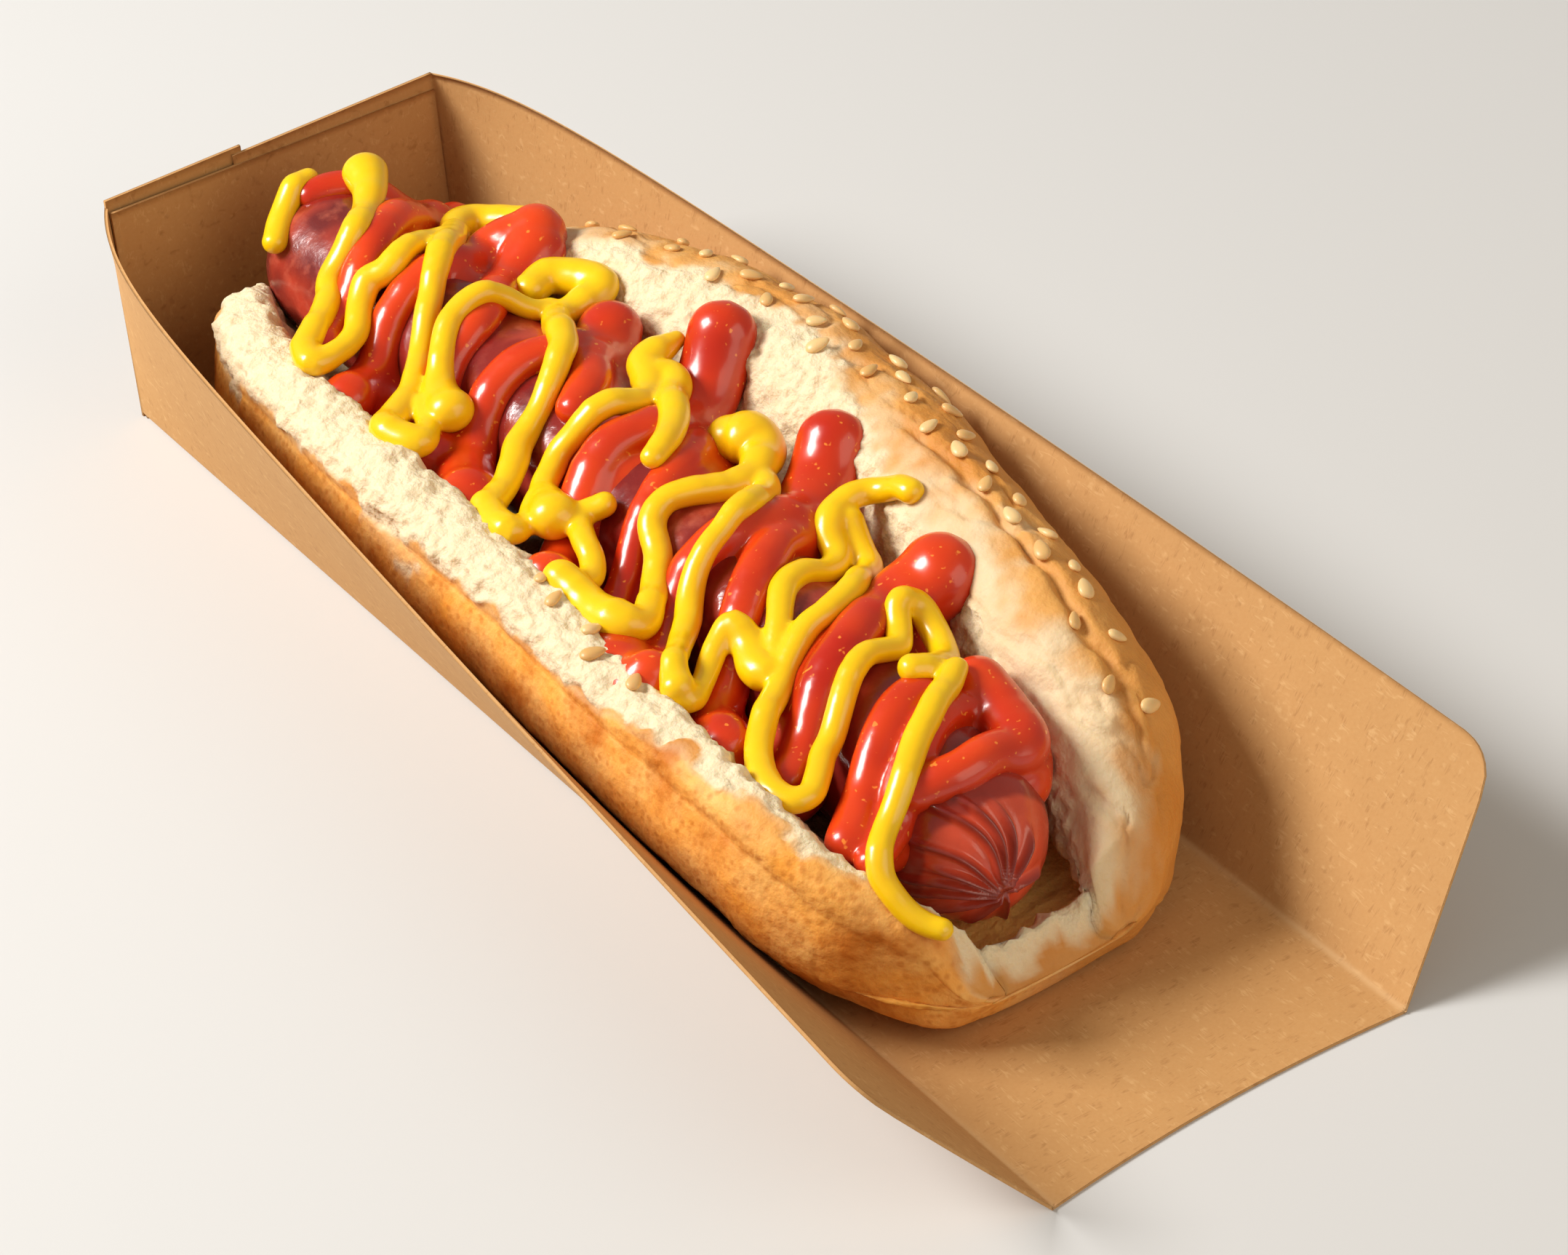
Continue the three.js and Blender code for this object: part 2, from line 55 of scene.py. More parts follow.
def wall_height(station):
    """The wall's height up its own slope: a straight top, a round corner, a slanted front edge."""
    straight = BACK_HEIGHT + (FRONT_HEIGHT - BACK_HEIGHT) * station / WALL_TOP_LENGTH
    run = CASE_LENGTH - WALL_TOP_LENGTH
    slant = math.hypot(run, FRONT_HEIGHT)
    centre_height = FRONT_HEIGHT - CORNER_RADIUS
    centre = CASE_LENGTH - (CORNER_RADIUS * slant + run * centre_height) / FRONT_HEIGHT
    arc_end = centre + CORNER_RADIUS * FRONT_HEIGHT / slant
    arc = centre_height + np.sqrt(np.clip(CORNER_RADIUS**2 - (station - centre) ** 2, 0, None))
    edge = (CASE_LENGTH - station) * FRONT_HEIGHT / run
    return np.where(station < centre, straight, np.where(station > arc_end, edge, arc))


def make_piece(name, points, faces, masks=None):
    """An object at the origin from points in millimetres, with one value a point for each mask."""
    mesh = bpy.data.meshes.new(name)
    mesh.from_pydata((np.asarray(points).reshape(-1, 3) * MM).tolist(), [], faces)
    for mask, values in (masks or {}).items():
        layer = mesh.attributes.new(mask, "FLOAT", "POINT")
        layer.data.foreach_set("value", np.asarray(values, np.float32).ravel())
    mesh.polygons.foreach_set("use_smooth", np.ones(len(mesh.polygons), bool))
    mesh.update()
    piece = bpy.data.objects.new(name, mesh)
    bpy.context.scene.collection.objects.link(piece)
    return piece


def grid_faces(rows, columns, round_columns=False, first=0, flip=False):
    """Four-cornered faces between neighbouring rows and columns of a grid of points."""
    row, column = np.meshgrid(
        np.arange(rows - 1), np.arange(columns - (0 if round_columns else 1)), indexing="ij")
    after = (column + 1) % columns
    corners = [row * columns + column, (row + 1) * columns + column,
               (row + 1) * columns + after, row * columns + after]
    if flip:
        corners.reverse()
    return (np.stack(corners, -1).reshape(-1, 4) + first).tolist()


def board_sheet(outside, inside):
    """Points and faces of a closed thin sheet: two grids of one size, joined round their edge."""
    rows, columns = outside.shape[:2]
    count = rows * columns
    index = np.arange(count).reshape(rows, columns)
    rim = np.concatenate([index[0, :-1], index[:-1, -1], index[-1, :0:-1], index[:0:-1, 0]])
    strip = np.stack([rim, np.roll(rim, -1), np.roll(rim, -1) + count, rim + count], -1)
    faces = grid_faces(rows, columns, flip=True) + grid_faces(rows, columns, first=count)
    return np.concatenate([outside.reshape(-1, 3), inside.reshape(-1, 3)]), faces + strip.tolist()


def folded_board():
    """Down the near wall, across the floor and up the far wall at each station. The folds are
    quadratic curves, the floor's front edge is drawn in by a parabola, and the board's inner
    face is its outer face moved along the normal."""
    u = np.linspace(0, 1, 220)
    u = np.concatenate([u[:-1], 1 - (1 - u[-2]) * np.array([0.75, 0.5, 0.25, 0.1, 0.03, 0.004])])
    station = (CASE_LENGTH * u)[:, None]
    lean, height = wall_lean(station), wall_height(station)
    turn = np.minimum(FOLD_ROUND, 0.5 * height)
    up = np.linspace(1, 0, 40)[None, :]
    rise = turn + (height - turn) * up
    wall_y, wall_z = CASE_WIDTH / 2 + rise * np.sin(lean), rise * np.cos(lean)
    t = np.linspace(0, 1, 7)[None, 1:-1]
    fold_y = (CASE_WIDTH / 2 + turn * np.sin(lean) * (1 - t) ** 2 - turn * t**2)
    fold_z = turn * np.cos(lean) * (1 - t) ** 2
    floor_y = (CASE_WIDTH / 2 - turn) * np.linspace(-1, 1, 60)[None, :]
    y = np.concatenate([-wall_y, -fold_y, floor_y, fold_y[:, ::-1], wall_y[:, ::-1]], 1)
    z = np.concatenate([wall_z, fold_z, 0 * floor_y, fold_z[:, ::-1], wall_z[:, ::-1]], 1)
    across = np.clip(np.abs(y) / (CASE_WIDTH / 2), 0, 1)
    x = station - FRONT_EDGE_HOLLOW * (1 - across**2) * u[:, None] ** 6
    outside = np.stack([x - CASE_LENGTH / 2, y, z], -1)
    along_u, along_v = np.gradient(outside, axis=0), np.gradient(outside, axis=1)
    normal = np.cross(along_u, along_v)
    normal /= np.maximum(np.linalg.norm(normal, axis=-1, keepdims=True), 1e-9)
    inside = outside + BOARD * normal
    inside[..., 2] = np.maximum(inside[..., 2], 0.02)
    near_fold = np.exp(-((np.abs(np.abs(y) - CASE_WIDTH / 2) + z) / 0.8) ** 2)
    return outside, inside, near_fold


def flat_board(x, y0, y1, top0, top1):
    """An upright panel across the case: y runs from y0 to y1, and its top from top0 to top1."""
    across, up = np.meshgrid(np.linspace(0, 1, 40), np.linspace(0, 1, 30), indexing="ij")
    y = y0 + (y1 - y0) * across
    z = up * (top0 + (top1 - top0) * across)
    front = np.stack([np.full_like(y, x + BOARD - CASE_LENGTH / 2), y, z], -1)
    return front, front - [BOARD, 0, 0]


def feed(tree, node, inputs):
    """Sets a node's inputs: each is a number, a colour of three parts, or an output to link."""
    for name, value in inputs.items():
        socket = node.inputs[name]
        if isinstance(value, bpy.types.NodeSocket):
            tree.links.new(value, socket)
        else:
            socket.default_value = (*value, 1) if socket.type == "RGBA" else value


def node_maker(tree):
    """A short way to add shader nodes to a tree: it gives back the one output that is wanted."""
    def node(kind, inputs, output=0, **settings):
        new = tree.nodes.new("ShaderNode" + kind)
        for name, value in settings.items():
            setattr(new, name, value)
        feed(tree, new, inputs)
        return new.outputs[output]
    return node


def new_effect(name, inputs, outputs):
    """A node group with named sockets: the group, ways to add nodes and to feed its outputs, and
    between them the values that it is given."""
    group = bpy.data.node_groups.new(name, "ShaderNodeTree")
    for way, sockets in (("INPUT", inputs), ("OUTPUT", outputs)):
        for socket, kind in sockets.items():
            group.interface.new_socket(socket, in_out=way, socket_type="NodeSocket" + kind)
    start, end = group.nodes.new("NodeGroupInput"), group.nodes.new("NodeGroupOutput")
    return group, node_maker(group), start.outputs, lambda values: feed(group, end, values)


def new_material(name, finish):
    """A material with these values on its Principled shader, and ways to add nodes and to feed it."""
    material = bpy.data.materials.new(name)
    material.use_nodes = True
    tree = material.node_tree
    shader = tree.nodes["Principled BSDF"]
    feed(tree, shader, finish)
    return material, node_maker(tree), lambda values: feed(tree, shader, values)


def mask_of(node, name):
    return node("Attribute", {}, "Fac", attribute_name=name)


def times(node, a, b):
    return node("Math", {0: a, 1: b}, operation="MULTIPLY")


def mixed(node, factor, under, over):
    """A colour between two, nearer to the second as the factor rises from 0 to 1."""
    return node("Mix", {"Factor": factor, "A": under, "B": over}, "Result", data_type="RGBA")


def ramp(node, value, low, high, at_low=0.0, at_high=1.0):
    """A straight ramp from at_low to at_high while the value goes from low to high."""
    return node("MapRange", {"Value": value, "From Min": low, "From Max": high,
                             "To Min": at_low, "To Max": at_high}, "Result")


def relief(node, height, strength, depth):
    """Small bumps: a surface direction for heights of 0 to 1 over this depth in millimetres."""
    return node("Bump", {"Strength": strength, "Distance": depth * MM, "Height": height}, "Normal")


def fibre_effect():
    """Shared effect: short fibres, darker and paler, and soft blotches over a base colour."""
    group, node, given, give = new_effect(
        "paper_fibres", {"Base": "Color", "Dark": "Color", "Pale": "Color"},
        {"Colour": "Color", "Height": "Float"})
    place = node("TexCoord", {}, "Object")

    def fibres(scale, stretch, width, seed):
        """Thin lines where a stretched noise passes one half, kept only where a second is high."""
        turned = node("Mapping", {"Vector": place, "Location": (seed, seed * 2, seed * 3),
                                  "Rotation": (0.2, 0.1, seed), "Scale": stretch}, "Vector")
        wave = node("TexNoise", {"Vector": turned, "Scale": scale, "Detail": 1.5,
                                 "Distortion": 0.6}, "Fac")
        off_half = node("Math", {0: wave, 1: 0.5}, operation="SUBTRACT")
        line = ramp(node, node("Math", {0: off_half}, operation="ABSOLUTE"), 0.0, width, 1.0, 0.0)
        kept = node("TexNoise", {"Vector": place, "Scale": 0.45 * scale}, "Fac")
        return times(node, line, ramp(node, kept, 0.52, 0.66))

    blotch = node("TexNoise", {"Vector": place, "Scale": 120.0, "Detail": 5.0}, "Fac")
    grain = node("TexNoise", {"Vector": place, "Scale": 1700.0, "Detail": 4.0}, "Fac")
    dark = fibres(1500.0, (1.0, 0.13, 0.16), 0.06, 1.3)
    pale = fibres(1400.0, (0.14, 1.0, 0.4), 0.06, 2.1)
    colour = mixed(node, times(node, blotch, 0.3), given["Base"], given["Dark"])
    colour = mixed(node, times(node, grain, 0.3), colour, given["Pale"])
    colour = mixed(node, times(node, dark, 0.5), colour, given["Dark"])
    colour = mixed(node, times(node, pale, 0.55), colour, given["Pale"])
    give({"Colour": colour, "Height": grain})
    return group


KRAFT, KRAFT_DARK = (0.56, 0.295, 0.105), (0.34, 0.15, 0.045)
KRAFT_PALE, KRAFT_FOLD_HIGHLIGHT = (0.70, 0.43, 0.19), (0.72, 0.47, 0.24)

kraft, node, give = new_material("kraft_board", {"Roughness": 0.78, "Specular IOR Level": 0.25})
brown = node("Group", {"Base": KRAFT, "Dark": KRAFT_DARK, "Pale": KRAFT_PALE}, "Colour",
             node_tree=fibre_effect())
# A paler line along each fold is a painted highlight where the board turns.
fold_highlight = mixed(node, times(node, mask_of(node, "fold"), 0.45), brown, KRAFT_FOLD_HIGHLIGHT)
give({"Base Color": fold_highlight, "Normal": relief(node, brown.node.outputs["Height"], 0.35, 0.08)})

outside, inside, near_fold = folded_board()
points, faces = board_sheet(outside, inside)
folds = [near_fold.ravel(), near_fold.ravel()]
# The back panel is folded up from the floor, and the tabs of the walls are glued behind it.
back_panel = flat_board(2 * BOARD, -28.8, 28.8, 37.6, 35.9)
far_tab = flat_board(BOARD, -7.0, 29.0, 38.5, 38.5)
near_tab = flat_board(0.0, -29.0, -5.2, 39.4, 39.4)
for front, rear in (back_panel, far_tab, near_tab):
    more, more_faces = board_sheet(rear, front)
    faces += (np.array(more_faces) + len(points)).tolist()
    points = np.concatenate([points, more])
    folds.append(np.zeros(len(more)))
case = make_piece("case_board", points, faces, {"fold": np.concatenate(folds)})
case.data.materials.append(kraft)
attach(case, "root")
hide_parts("paper_case")


# The bun is soft white bread split nearly through: the near half stands with its flat, toasted
# underside outwards, and the far half is the sesame top. Where it was cut and torn, the crumb
# is fluffy, and its skin is pale beside the cut and golden where the oven reached it.
FIT_GAP, BUN_START, BUN_END, BUN_END_ROUND = 0.35, 13.0, 202.5, 8.0
# Rows of [station, value]: y and z of the slab's two top edges, half its thickness at each edge,
# in the near belly and at the base, and where the near foot stands, as a share of near_y.
BUN = {
    "near_y": [[13, -13.5], [22, -19.5], [40, -25.5], [75, -28.8], [110, -29.2], [145, -31],
               [175, -31.5], [189, -28], [198, -21], [205, -13]],
    "near_z": [[13, 18.5], [22, 24], [40, 27.5], [75, 29.5], [110, 29.5], [145, 29], [175, 28],
               [189, 23], [198, 17], [205, 11]],
    "near_half": [[13, 5.2], [40, 5.4], [110, 5.2], [160, 4.2], [205, 3.6]],
    "near_belly": [[13, 7.4], [40, 9], [110, 9], [160, 8.2], [190, 7.2], [205, 3.4]],
    "near_foot": [[13, 0.66], [150, 0.66], [180, 0.74], [196, 0.84], [205, 0.84]],
    "far_y": [[13, 7], [30, 16], [60, 26], [90, 31], [115, 31], [145, 26.5], [172, 21.5],
              [186, 18.5], [195, 14], [205, 4]],
    "far_z": [[13, 15], [30, 22], [60, 27.5], [90, 29], [115, 29], [145, 28], [172, 25],
              [186, 20], [195, 15], [205, 11]],
    "far_half": [[13, 6], [30, 7.5], [50, 9.5], [75, 10.5], [110, 10.5], [150, 10.2],
                 [186, 9.8], [205, 6]],
    "base_half": [[13, 3.4], [24, 4], [42, 6.2], [75, 5], [140, 4.3], [180, 3.0], [193, 2.8],
                  [199, 4.6], [205, 5.2]],
}


def lumps(points, size, seed, octaves=3):
    """Random heights of about -1 to 1: values on a lattice of this size blended by
    6t^5 - 15t^4 + 10t^3, each further octave at half the size and half the height."""
    table = np.random.default_rng(seed).uniform(-1, 1, (32, 32, 32))
    total, height = np.zeros(points.shape[:-1]), 1.0
    for octave in range(octaves):
        place = points / size + 137.3 + 17.7 * octave
        cell = np.floor(place).astype(int)
        t = place - cell
        t = t * t * t * (t * (6 * t - 15) + 10)
        for corner in range(8):
            bit = np.array([corner & 1, corner >> 1 & 1, corner >> 2 & 1])
            weight = np.prod(np.where(bit, t, 1 - t), axis=-1)
            i, j, k = np.moveaxis((cell + bit) % 32, -1, 0)
            total += height * weight * table[i, j, k]
        size, height = size / 2, height / 2
    return total


def pores(points, size, seed):
    """Distance, in cells of this size, from each point to the nearest of one random place a cell."""
    table = np.random.default_rng(seed).uniform(0, 1, (32, 32, 32, 3))
    place = points / size + 211.4
    cell = np.floor(place).astype(int)
    nearest = np.full(points.shape[:-1], 9.0)
    for step in np.ndindex(3, 3, 3):
        other = cell + np.array(step) - 1
        i, j, k = np.moveaxis(other % 32, -1, 0)
        gap = np.linalg.norm(other + table[i, j, k] - place, axis=-1)
        nearest = np.minimum(nearest, gap)
    return nearest


def cubic(at, value, x):
    """Cubic through the values at rising places, level beyond them, worked out at each x. A value
    may be a row of its own: the result then has such a row for each x."""
    x = np.clip(x, at[0], at[-1])
    i = np.clip(np.searchsorted(at, x, side="right") - 1, 0, len(at) - 2)
    low, high = np.maximum(i - 1, 0), np.minimum(i + 2, len(at) - 1)
    wide = (slice(None),) * x.ndim + (None,) * (value.ndim - 1)
    span = (at[i + 1] - at[i])[wide]
    t = (x - at[i])[wide] / span
    slope1 = (value[i + 1] - value[low]) / (at[i + 1] - at[low])[wide] * span
    slope2 = (value[high] - value[i]) / (at[high] - at[i])[wide] * span
    return ((2 * t**3 - 3 * t**2 + 1) * value[i] + (t**3 - 2 * t**2 + t) * slope1
            + (3 * t**2 - 2 * t**3) * value[i + 1] + (t**3 - t**2) * slope2)


def along(row, x):
    """The same cubic through a row of [place, value] pairs."""
    at, value = np.array(row, float).T
    return cubic(at, value, x)


def spline(controls, t):
    """Catmull-Rom curves through controls (points, stations) at t of 0 to 1, and their slopes."""
    last = len(controls) - 1
    place = np.clip(t, 0, 1) * last
    i = np.minimum(np.floor(place).astype(int), last - 1)
    w = (place - i)[:, None]
    p0, p1 = controls[np.where(i == 0, i, i - 1)], controls[i]
    p2, p3 = controls[i + 1], controls[np.where(i > last - 2, last, np.minimum(i + 2, last))]
    v0, v1 = (p2 - p0) / 2, (p3 - p1) / 2
    a, b = 2 * p1 - 2 * p2 + v0 + v1, -3 * p1 + 3 * p2 - 2 * v0 - v1
    value = a * w**3 + b * w**2 + v0 * w + p1
    slope = 3 * a * w**2 + 2 * b * w + v0
    return value, slope


def bun_surface(station, way):
    """The bent slab: a spine goes down the near half, under the sausage and up the far half, and
    the skin stands half a thickness to either side of it, with a cap at each top edge: a half
    circle on the far one, squarer on the near one.
    way runs round the section: 0 to 1 inside from near to far, 1 to 2 over the far cap, 2 to 3
    back underneath, and 3 to 4 up over the near cap. Rows are ways, columns stations."""
    value = {name: along(row, station) for name, row in BUN.items()}
    from_end = np.minimum(station - BUN_START, BUN_END - station)
    blunt = np.where(station > 100, 4.0, 2.0)
    ends = np.sqrt(np.maximum(1 - (1 - np.clip(from_end / BUN_END_ROUND, 0, 1)) ** blunt, 0.06))
    base, near_y, far_y = value["base_half"], value["near_y"], value["far_y"]
    floor = BOARD + FIT_GAP + base
    knee = [np.maximum(0.58 * tip, np.minimum(floor + 3.6, tip - 2))
            for tip in (value["near_z"], value["far_z"])]
    spine_y = np.array([near_y, 0.92 * near_y, value["near_foot"] * near_y, (near_y + far_y) / 2,
                        0.62 * far_y, 0.86 * far_y, far_y])
    spine_z = np.array([value["near_z"], knee[0], floor + 1.6, floor, floor + 1.6,
                        knee[1], value["far_z"]])
    marks = np.array([0, 0.17, 0.34, 0.5, 0.66, 0.83, 1])
    halves = np.array([value["near_half"], value["near_belly"], 1.15 * base, base, 1.2 * base,
                       1.02 * value["far_half"], value["far_half"]])
    v = np.select([way <= 1, way <= 2, way <= 3], [way, 1.0, 3 - way], 0.0)
    y, slope_y = spline(spine_y, v)
    z, slope_z = spline(spine_z, v)
    length = np.hypot(slope_y, slope_z)
    slope_y, slope_z = slope_y / length, slope_z / length
    half = cubic(marks, halves, v) * ends
    turn = np.select([way <= 1, way <= 2, way <= 3], [0.0, way - 1, 1.0], way - 3)[:, None] * np.pi
    far_cap, near_cap = ((way > 1) & (way < 2))[:, None], (way > 3)[:, None]
    square = np.where(near_cap, 0.78, 1.0)
    cosine = np.sign(np.cos(turn)) * np.abs(np.cos(turn)) ** square
    sine = np.abs(np.sin(turn)) ** square
    sideways = np.where(far_cap, -half * cosine, np.where(near_cap, half * cosine,
                        np.where((way <= 1)[:, None], -half, half)))
    outwards = np.where(far_cap, 0.95 * half * sine, np.where(near_cap, -0.95 * half * sine, 0.0))
    across = y + slope_z * sideways + slope_y * outwards
    height = z - slope_y * sideways + slope_z * outwards
    lean = wall_lean(station)
    room = CASE_WIDTH / 2 - (BOARD + FIT_GAP + 0.1) / np.cos(lean)
    room = room + np.clip(height, 0, BACK_HEIGHT) * np.tan(lean)
    height = np.maximum(height, BOARD + FIT_GAP)
    x = np.broadcast_to(station - CASE_LENGTH / 2, across.shape)
    return np.stack([x, np.clip(across, -room, room), height], -1)


def normals_of(points):
    """Unit normals of a grid of points whose rows close into a ring, from the cross product of
    its two directions."""
    padded = np.concatenate([points[-1:], points, points[:1]])
    normal = np.cross((padded[2:] - padded[:-2]) / 2, np.gradient(points, axis=1))
    return normal / np.maximum(np.linalg.norm(normal, axis=-1, keepdims=True), 1e-9)


def ways_round(counts):
    """Places round the section: (from, to, how many) for each stretch."""
    return np.concatenate([np.linspace(a, b, n, endpoint=False) for a, b, n in counts])


def smooth_step(value, low, high):
    """0 up to low and 1 from high, with 3t^2 - 2t^3 between them."""
    t = np.clip((value - low) / (high - low), 0, 1)
    return t * t * (3 - 2 * t)


way = ways_round([(0, 0.3, 24), (0.3, 0.7, 22), (0.7, 1, 34), (1, 2, 64), (2, 2.35, 26),
                  (2.35, 2.6, 6), (2.6, 3, 44), (3, 4, 32)])
station = np.concatenate([
    BUN_START + BUN_END_ROUND * (1 - np.cos(np.linspace(0, np.pi / 2, 24)))[:-1],
    np.linspace(BUN_START + BUN_END_ROUND, BUN_END - BUN_END_ROUND, 330),
    BUN_END - BUN_END_ROUND * (1 - np.cos(np.linspace(np.pi / 2, 0, 24)))[1:]])
skin = bun_surface(station, way)
normal = -normals_of(skin)
# W and X hold each point's way round the section and its station.
W, X = np.meshgrid(way, station, indexing="ij")
wander = lumps(skin, 9.0, 3, 3)
fine_wander = lumps(skin, 2.6, 4, 2)

# How much of each finish: 1 where the crumb is bare, the toast is dark, the skin is golden.
near_edge = along([[13, 3.35], [24, 3.2], [45, 3.1], [140, 3.12], [160, 3.4], [180, 3.58], [196, 3.6],
                   [205, 3.5]], X)
near_cut = smooth_step(W + 0.16 * wander + 0.06 * fine_wander, near_edge - 0.03, near_edge + 0.05)
near_cut = np.where(W < 0.5, 1.0, np.where(W > 2.9, near_cut, 0.0))
far_edge = along([[13, 1.05], [45, 1.15], [60, 1.34], [100, 1.36], [125, 1.22], [140, 1.12],
                  [165, 1.02], [205, 1.0]], X)
far_cut = 1 - smooth_step(W + 0.07 * wander + 0.03 * fine_wander, far_edge - 0.04, far_edge + 0.03)
far_cut = np.where(W < 0.5, 0.0, np.where(W < 1.9, far_cut, 0.0))
crumb = np.clip(near_cut + far_cut, 0, 1)
toast = smooth_step(W, 2.42, 2.6) * (1 - smooth_step(W + 0.1 * wander, near_edge - 0.1, near_edge + 0.04))
gold_edge = along([[13, 1.42], [60, 1.3], [110, 1.26], [150, 1.3], [180, 1.32], [193, 1.42],
                   [205, 1.5]], X)
gold = smooth_step(W + 0.17 * wander + 0.07 * fine_wander, gold_edge - 0.2, gold_edge + 0.2)
front_gold = smooth_step(X + 2.0 * wander, 186, 202) * smooth_step(W, 1.2, 2.0) * (W < 3.9)
front_edge = smooth_step(X + 0.9 * fine_wander, 199.8, 201.6)
front_gold = np.maximum(front_gold, front_edge)
crumb = crumb * (1 - front_edge)
gold = np.maximum(gold, 0.95 * front_gold) * (1 - toast) * (1 - crumb)
# The hollow below the sausage's front end is painted light: a bright orange for the glow of light bounced
# into its shade.
hollow = (smooth_step(X + 1.5 * wander, 172, 183) * (1 - smooth_step(X + 1.2 * fine_wander, 195, 198.5))
          * smooth_step(W + 0.05 * fine_wander, 0.16, 0.26)
          * (1 - smooth_step(W + 0.05 * fine_wander, 0.72, 0.84)))
deep_gold = gold * smooth_step(W + 0.12 * wander, 1.36, 1.78) * (W < 2.5)
deep_gold = np.maximum(deep_gold * (1 - 0.8 * smooth_step(X, 162, 190)), 0.6 * front_edge * (W < 1))
# A long crease, as a sharp line between two low swellings, runs along the far dome's inner side.
crease_at = along([[110, 1.3], [128, 1.36], [150, 1.44], [175, 1.42], [192, 1.5]], X) + 0.035 * wander
crease_on = smooth_step(X, 122, 132) * (1 - smooth_step(X, 188, 196))
crust_crease = crease_on * (0.35 * np.exp(-((W - crease_at) / 0.09) ** 2)
                            - 1.5 * np.exp(-((W - crease_at) / 0.024) ** 2))

# How far each finish stands out of the skin, in millimetres.
tufts = (lumps(skin, 2.2, 11, 4) * 0.75 + lumps(skin * [0.6, 1, 1], 5.0, 12, 2) * 0.5
         + lumps(skin, 1.1, 19, 2) * 0.28)
holes = np.exp(-(pores(skin, 2.6, 13) / 0.38) ** 2)
wrinkles = -np.exp(-(lumps(skin * [0.45, 1.3, 1.3], 9.0, 14, 3) / 0.11) ** 2)
pits = -np.exp(-(pores(skin, 1.6, 15) / 0.3) ** 2)
inner_skin = smooth_step(W, 1.0, 1.2) * (1 - smooth_step(W, 1.5, 1.75))
uneven = (0.5 * lumps(skin, 14.0, 16, 3) + 0.28 * lumps(skin, 5.0, 18, 3)) * (1 - toast)
height = (crumb * (0.7 * tufts - 0.45 * holes)
          + (1 - crumb) * (uneven + 0.3 * lumps(skin, 7.0, 17, 2) * toast
                           + 0.6 * wrinkles * inner_skin + 0.28 * pits * toast))
# The skin stays smooth under the sausage and where the bun lies on the case.
hidden = smooth_step(W, 0.26, 0.36) * (1 - smooth_step(W, 0.62, 0.72)) * (X < 188)
hidden = hidden + smooth_step(W, 2.3, 2.4) * (1 - smooth_step(W, 2.55, 2.65))
# The torn lip at the front stands up, and below it the end closes towards its middle height.
height = height * (1 - hidden) * (1 - 0.6 * smooth_step(X, 197, 202)) + crust_crease
skin = skin + normal * height[..., None]
lip = (smooth_step(X + 0.8 * fine_wander, 192.5, 198) * (1 - smooth_step(X, 199, 202.3))
       * smooth_step(W, 0.02, 0.36) * (1 - smooth_step(W, 0.6, 0.95)))
skin[..., 2] += lip * (2.2 + 0.8 * tufts)
END_MIDDLE = 6.8
skin[..., 2] += (END_MIDDLE - skin[..., 2]) * (0.8 * smooth_step(X, 198.8, 202.5))
lean = wall_lean(X)
room = (CASE_WIDTH / 2 - (BOARD + 0.1) / np.cos(lean) + np.clip(skin[..., 2], 0, 50) * np.tan(lean))
skin[..., 1] = np.clip(skin[..., 1], -room, room)
skin[..., 2] = np.maximum(skin[..., 2], BOARD + 0.05)

rows, columns = skin.shape[:2]
grid = skin.transpose(1, 0, 2)
masks = {"crumb": crumb, "toast": toast, "gold": gold, "deep_gold": deep_gold, "hollow": hollow,
         "holes": holes * crumb}
ring = np.arange(rows)
caps = [ring[::-1].tolist(), (ring + (columns - 1) * rows).tolist()]
bread = make_piece("bun_bread", grid, grid_faces(columns, rows, True) + caps,
                   {name: mask.T for name, mask in masks.items()})

CRUMB, CRUMB_SHADE, CRUMB_PAINTED_GLOW = (0.845, 0.705, 0.47), (0.70, 0.48, 0.23), (1.0, 0.60, 0.17)
PALE_SKIN, GOLD_SKIN, BROWN_SKIN = (0.76, 0.62, 0.40), (0.72, 0.36, 0.095), (0.60, 0.23, 0.035)
TOAST_PALE, TOAST, TOAST_DARK = (0.92, 0.50, 0.14), (0.90, 0.365, 0.045), (0.60, 0.19, 0.02)


def mottle_effect():
    """Shared effect: soft random patches, 0 where a noise is under Low and 1 where it is over High."""
    group, node, given, give = new_effect(
        "mottle", dict.fromkeys(["Scale", "Detail", "Low", "High"], "Float"), {"Amount": "Float"})
    noise = node("TexNoise", {"Vector": node("TexCoord", {}, "Object"), "Scale": given["Scale"],
                              "Detail": given["Detail"]}, "Fac")
    give({"Amount": ramp(node, noise, given["Low"], given["High"])})
    return group


patchy = mottle_effect()


def mottle(node, scale, detail, low, high):
    """Adds the shared patches to a material with its own size and limits."""
    return node("Group", {"Scale": scale, "Detail": detail, "Low": low, "High": high}, "Amount",
                node_tree=patchy)


bread_skin, node, give = new_material("bread", {
    "Roughness": 0.62, "Specular IOR Level": 0.3, "Subsurface Weight": 0.25,
    "Subsurface Radius": (1.0, 0.6, 0.3), "Subsurface Scale": 0.002})
patches = mottle(node, 130.0, 4.0, 0.35, 0.7)
specks = mottle(node, 700.0, 5.0, 0.42, 0.75)
broad = mottle(node, 42.0, 3.0, 0.4, 0.66)
golden = mixed(node, times(node, broad, 0.85), GOLD_SKIN, BROWN_SKIN)
golden = mixed(node, times(node, mask_of(node, "deep_gold"), 0.7), golden, BROWN_SKIN)
pale = mixed(node, times(node, patches, 0.3), PALE_SKIN, GOLD_SKIN)
colour = mixed(node, mask_of(node, "gold"), pale, golden)
toasted = mixed(node, patches, TOAST_PALE, TOAST)
toasted = mixed(node, mottle(node, 85.0, 4.0, 0.5, 0.68), toasted, TOAST_DARK)
cells = node("TexVoronoi", {"Vector": node("TexCoord", {}, "Object"), "Scale": 620.0}, "Distance")
pore = ramp(node, cells, 0.18, 0.42, 0.55, 0.0)
toasted = mixed(node, times(node, pore, 0.9), toasted, TOAST_DARK)
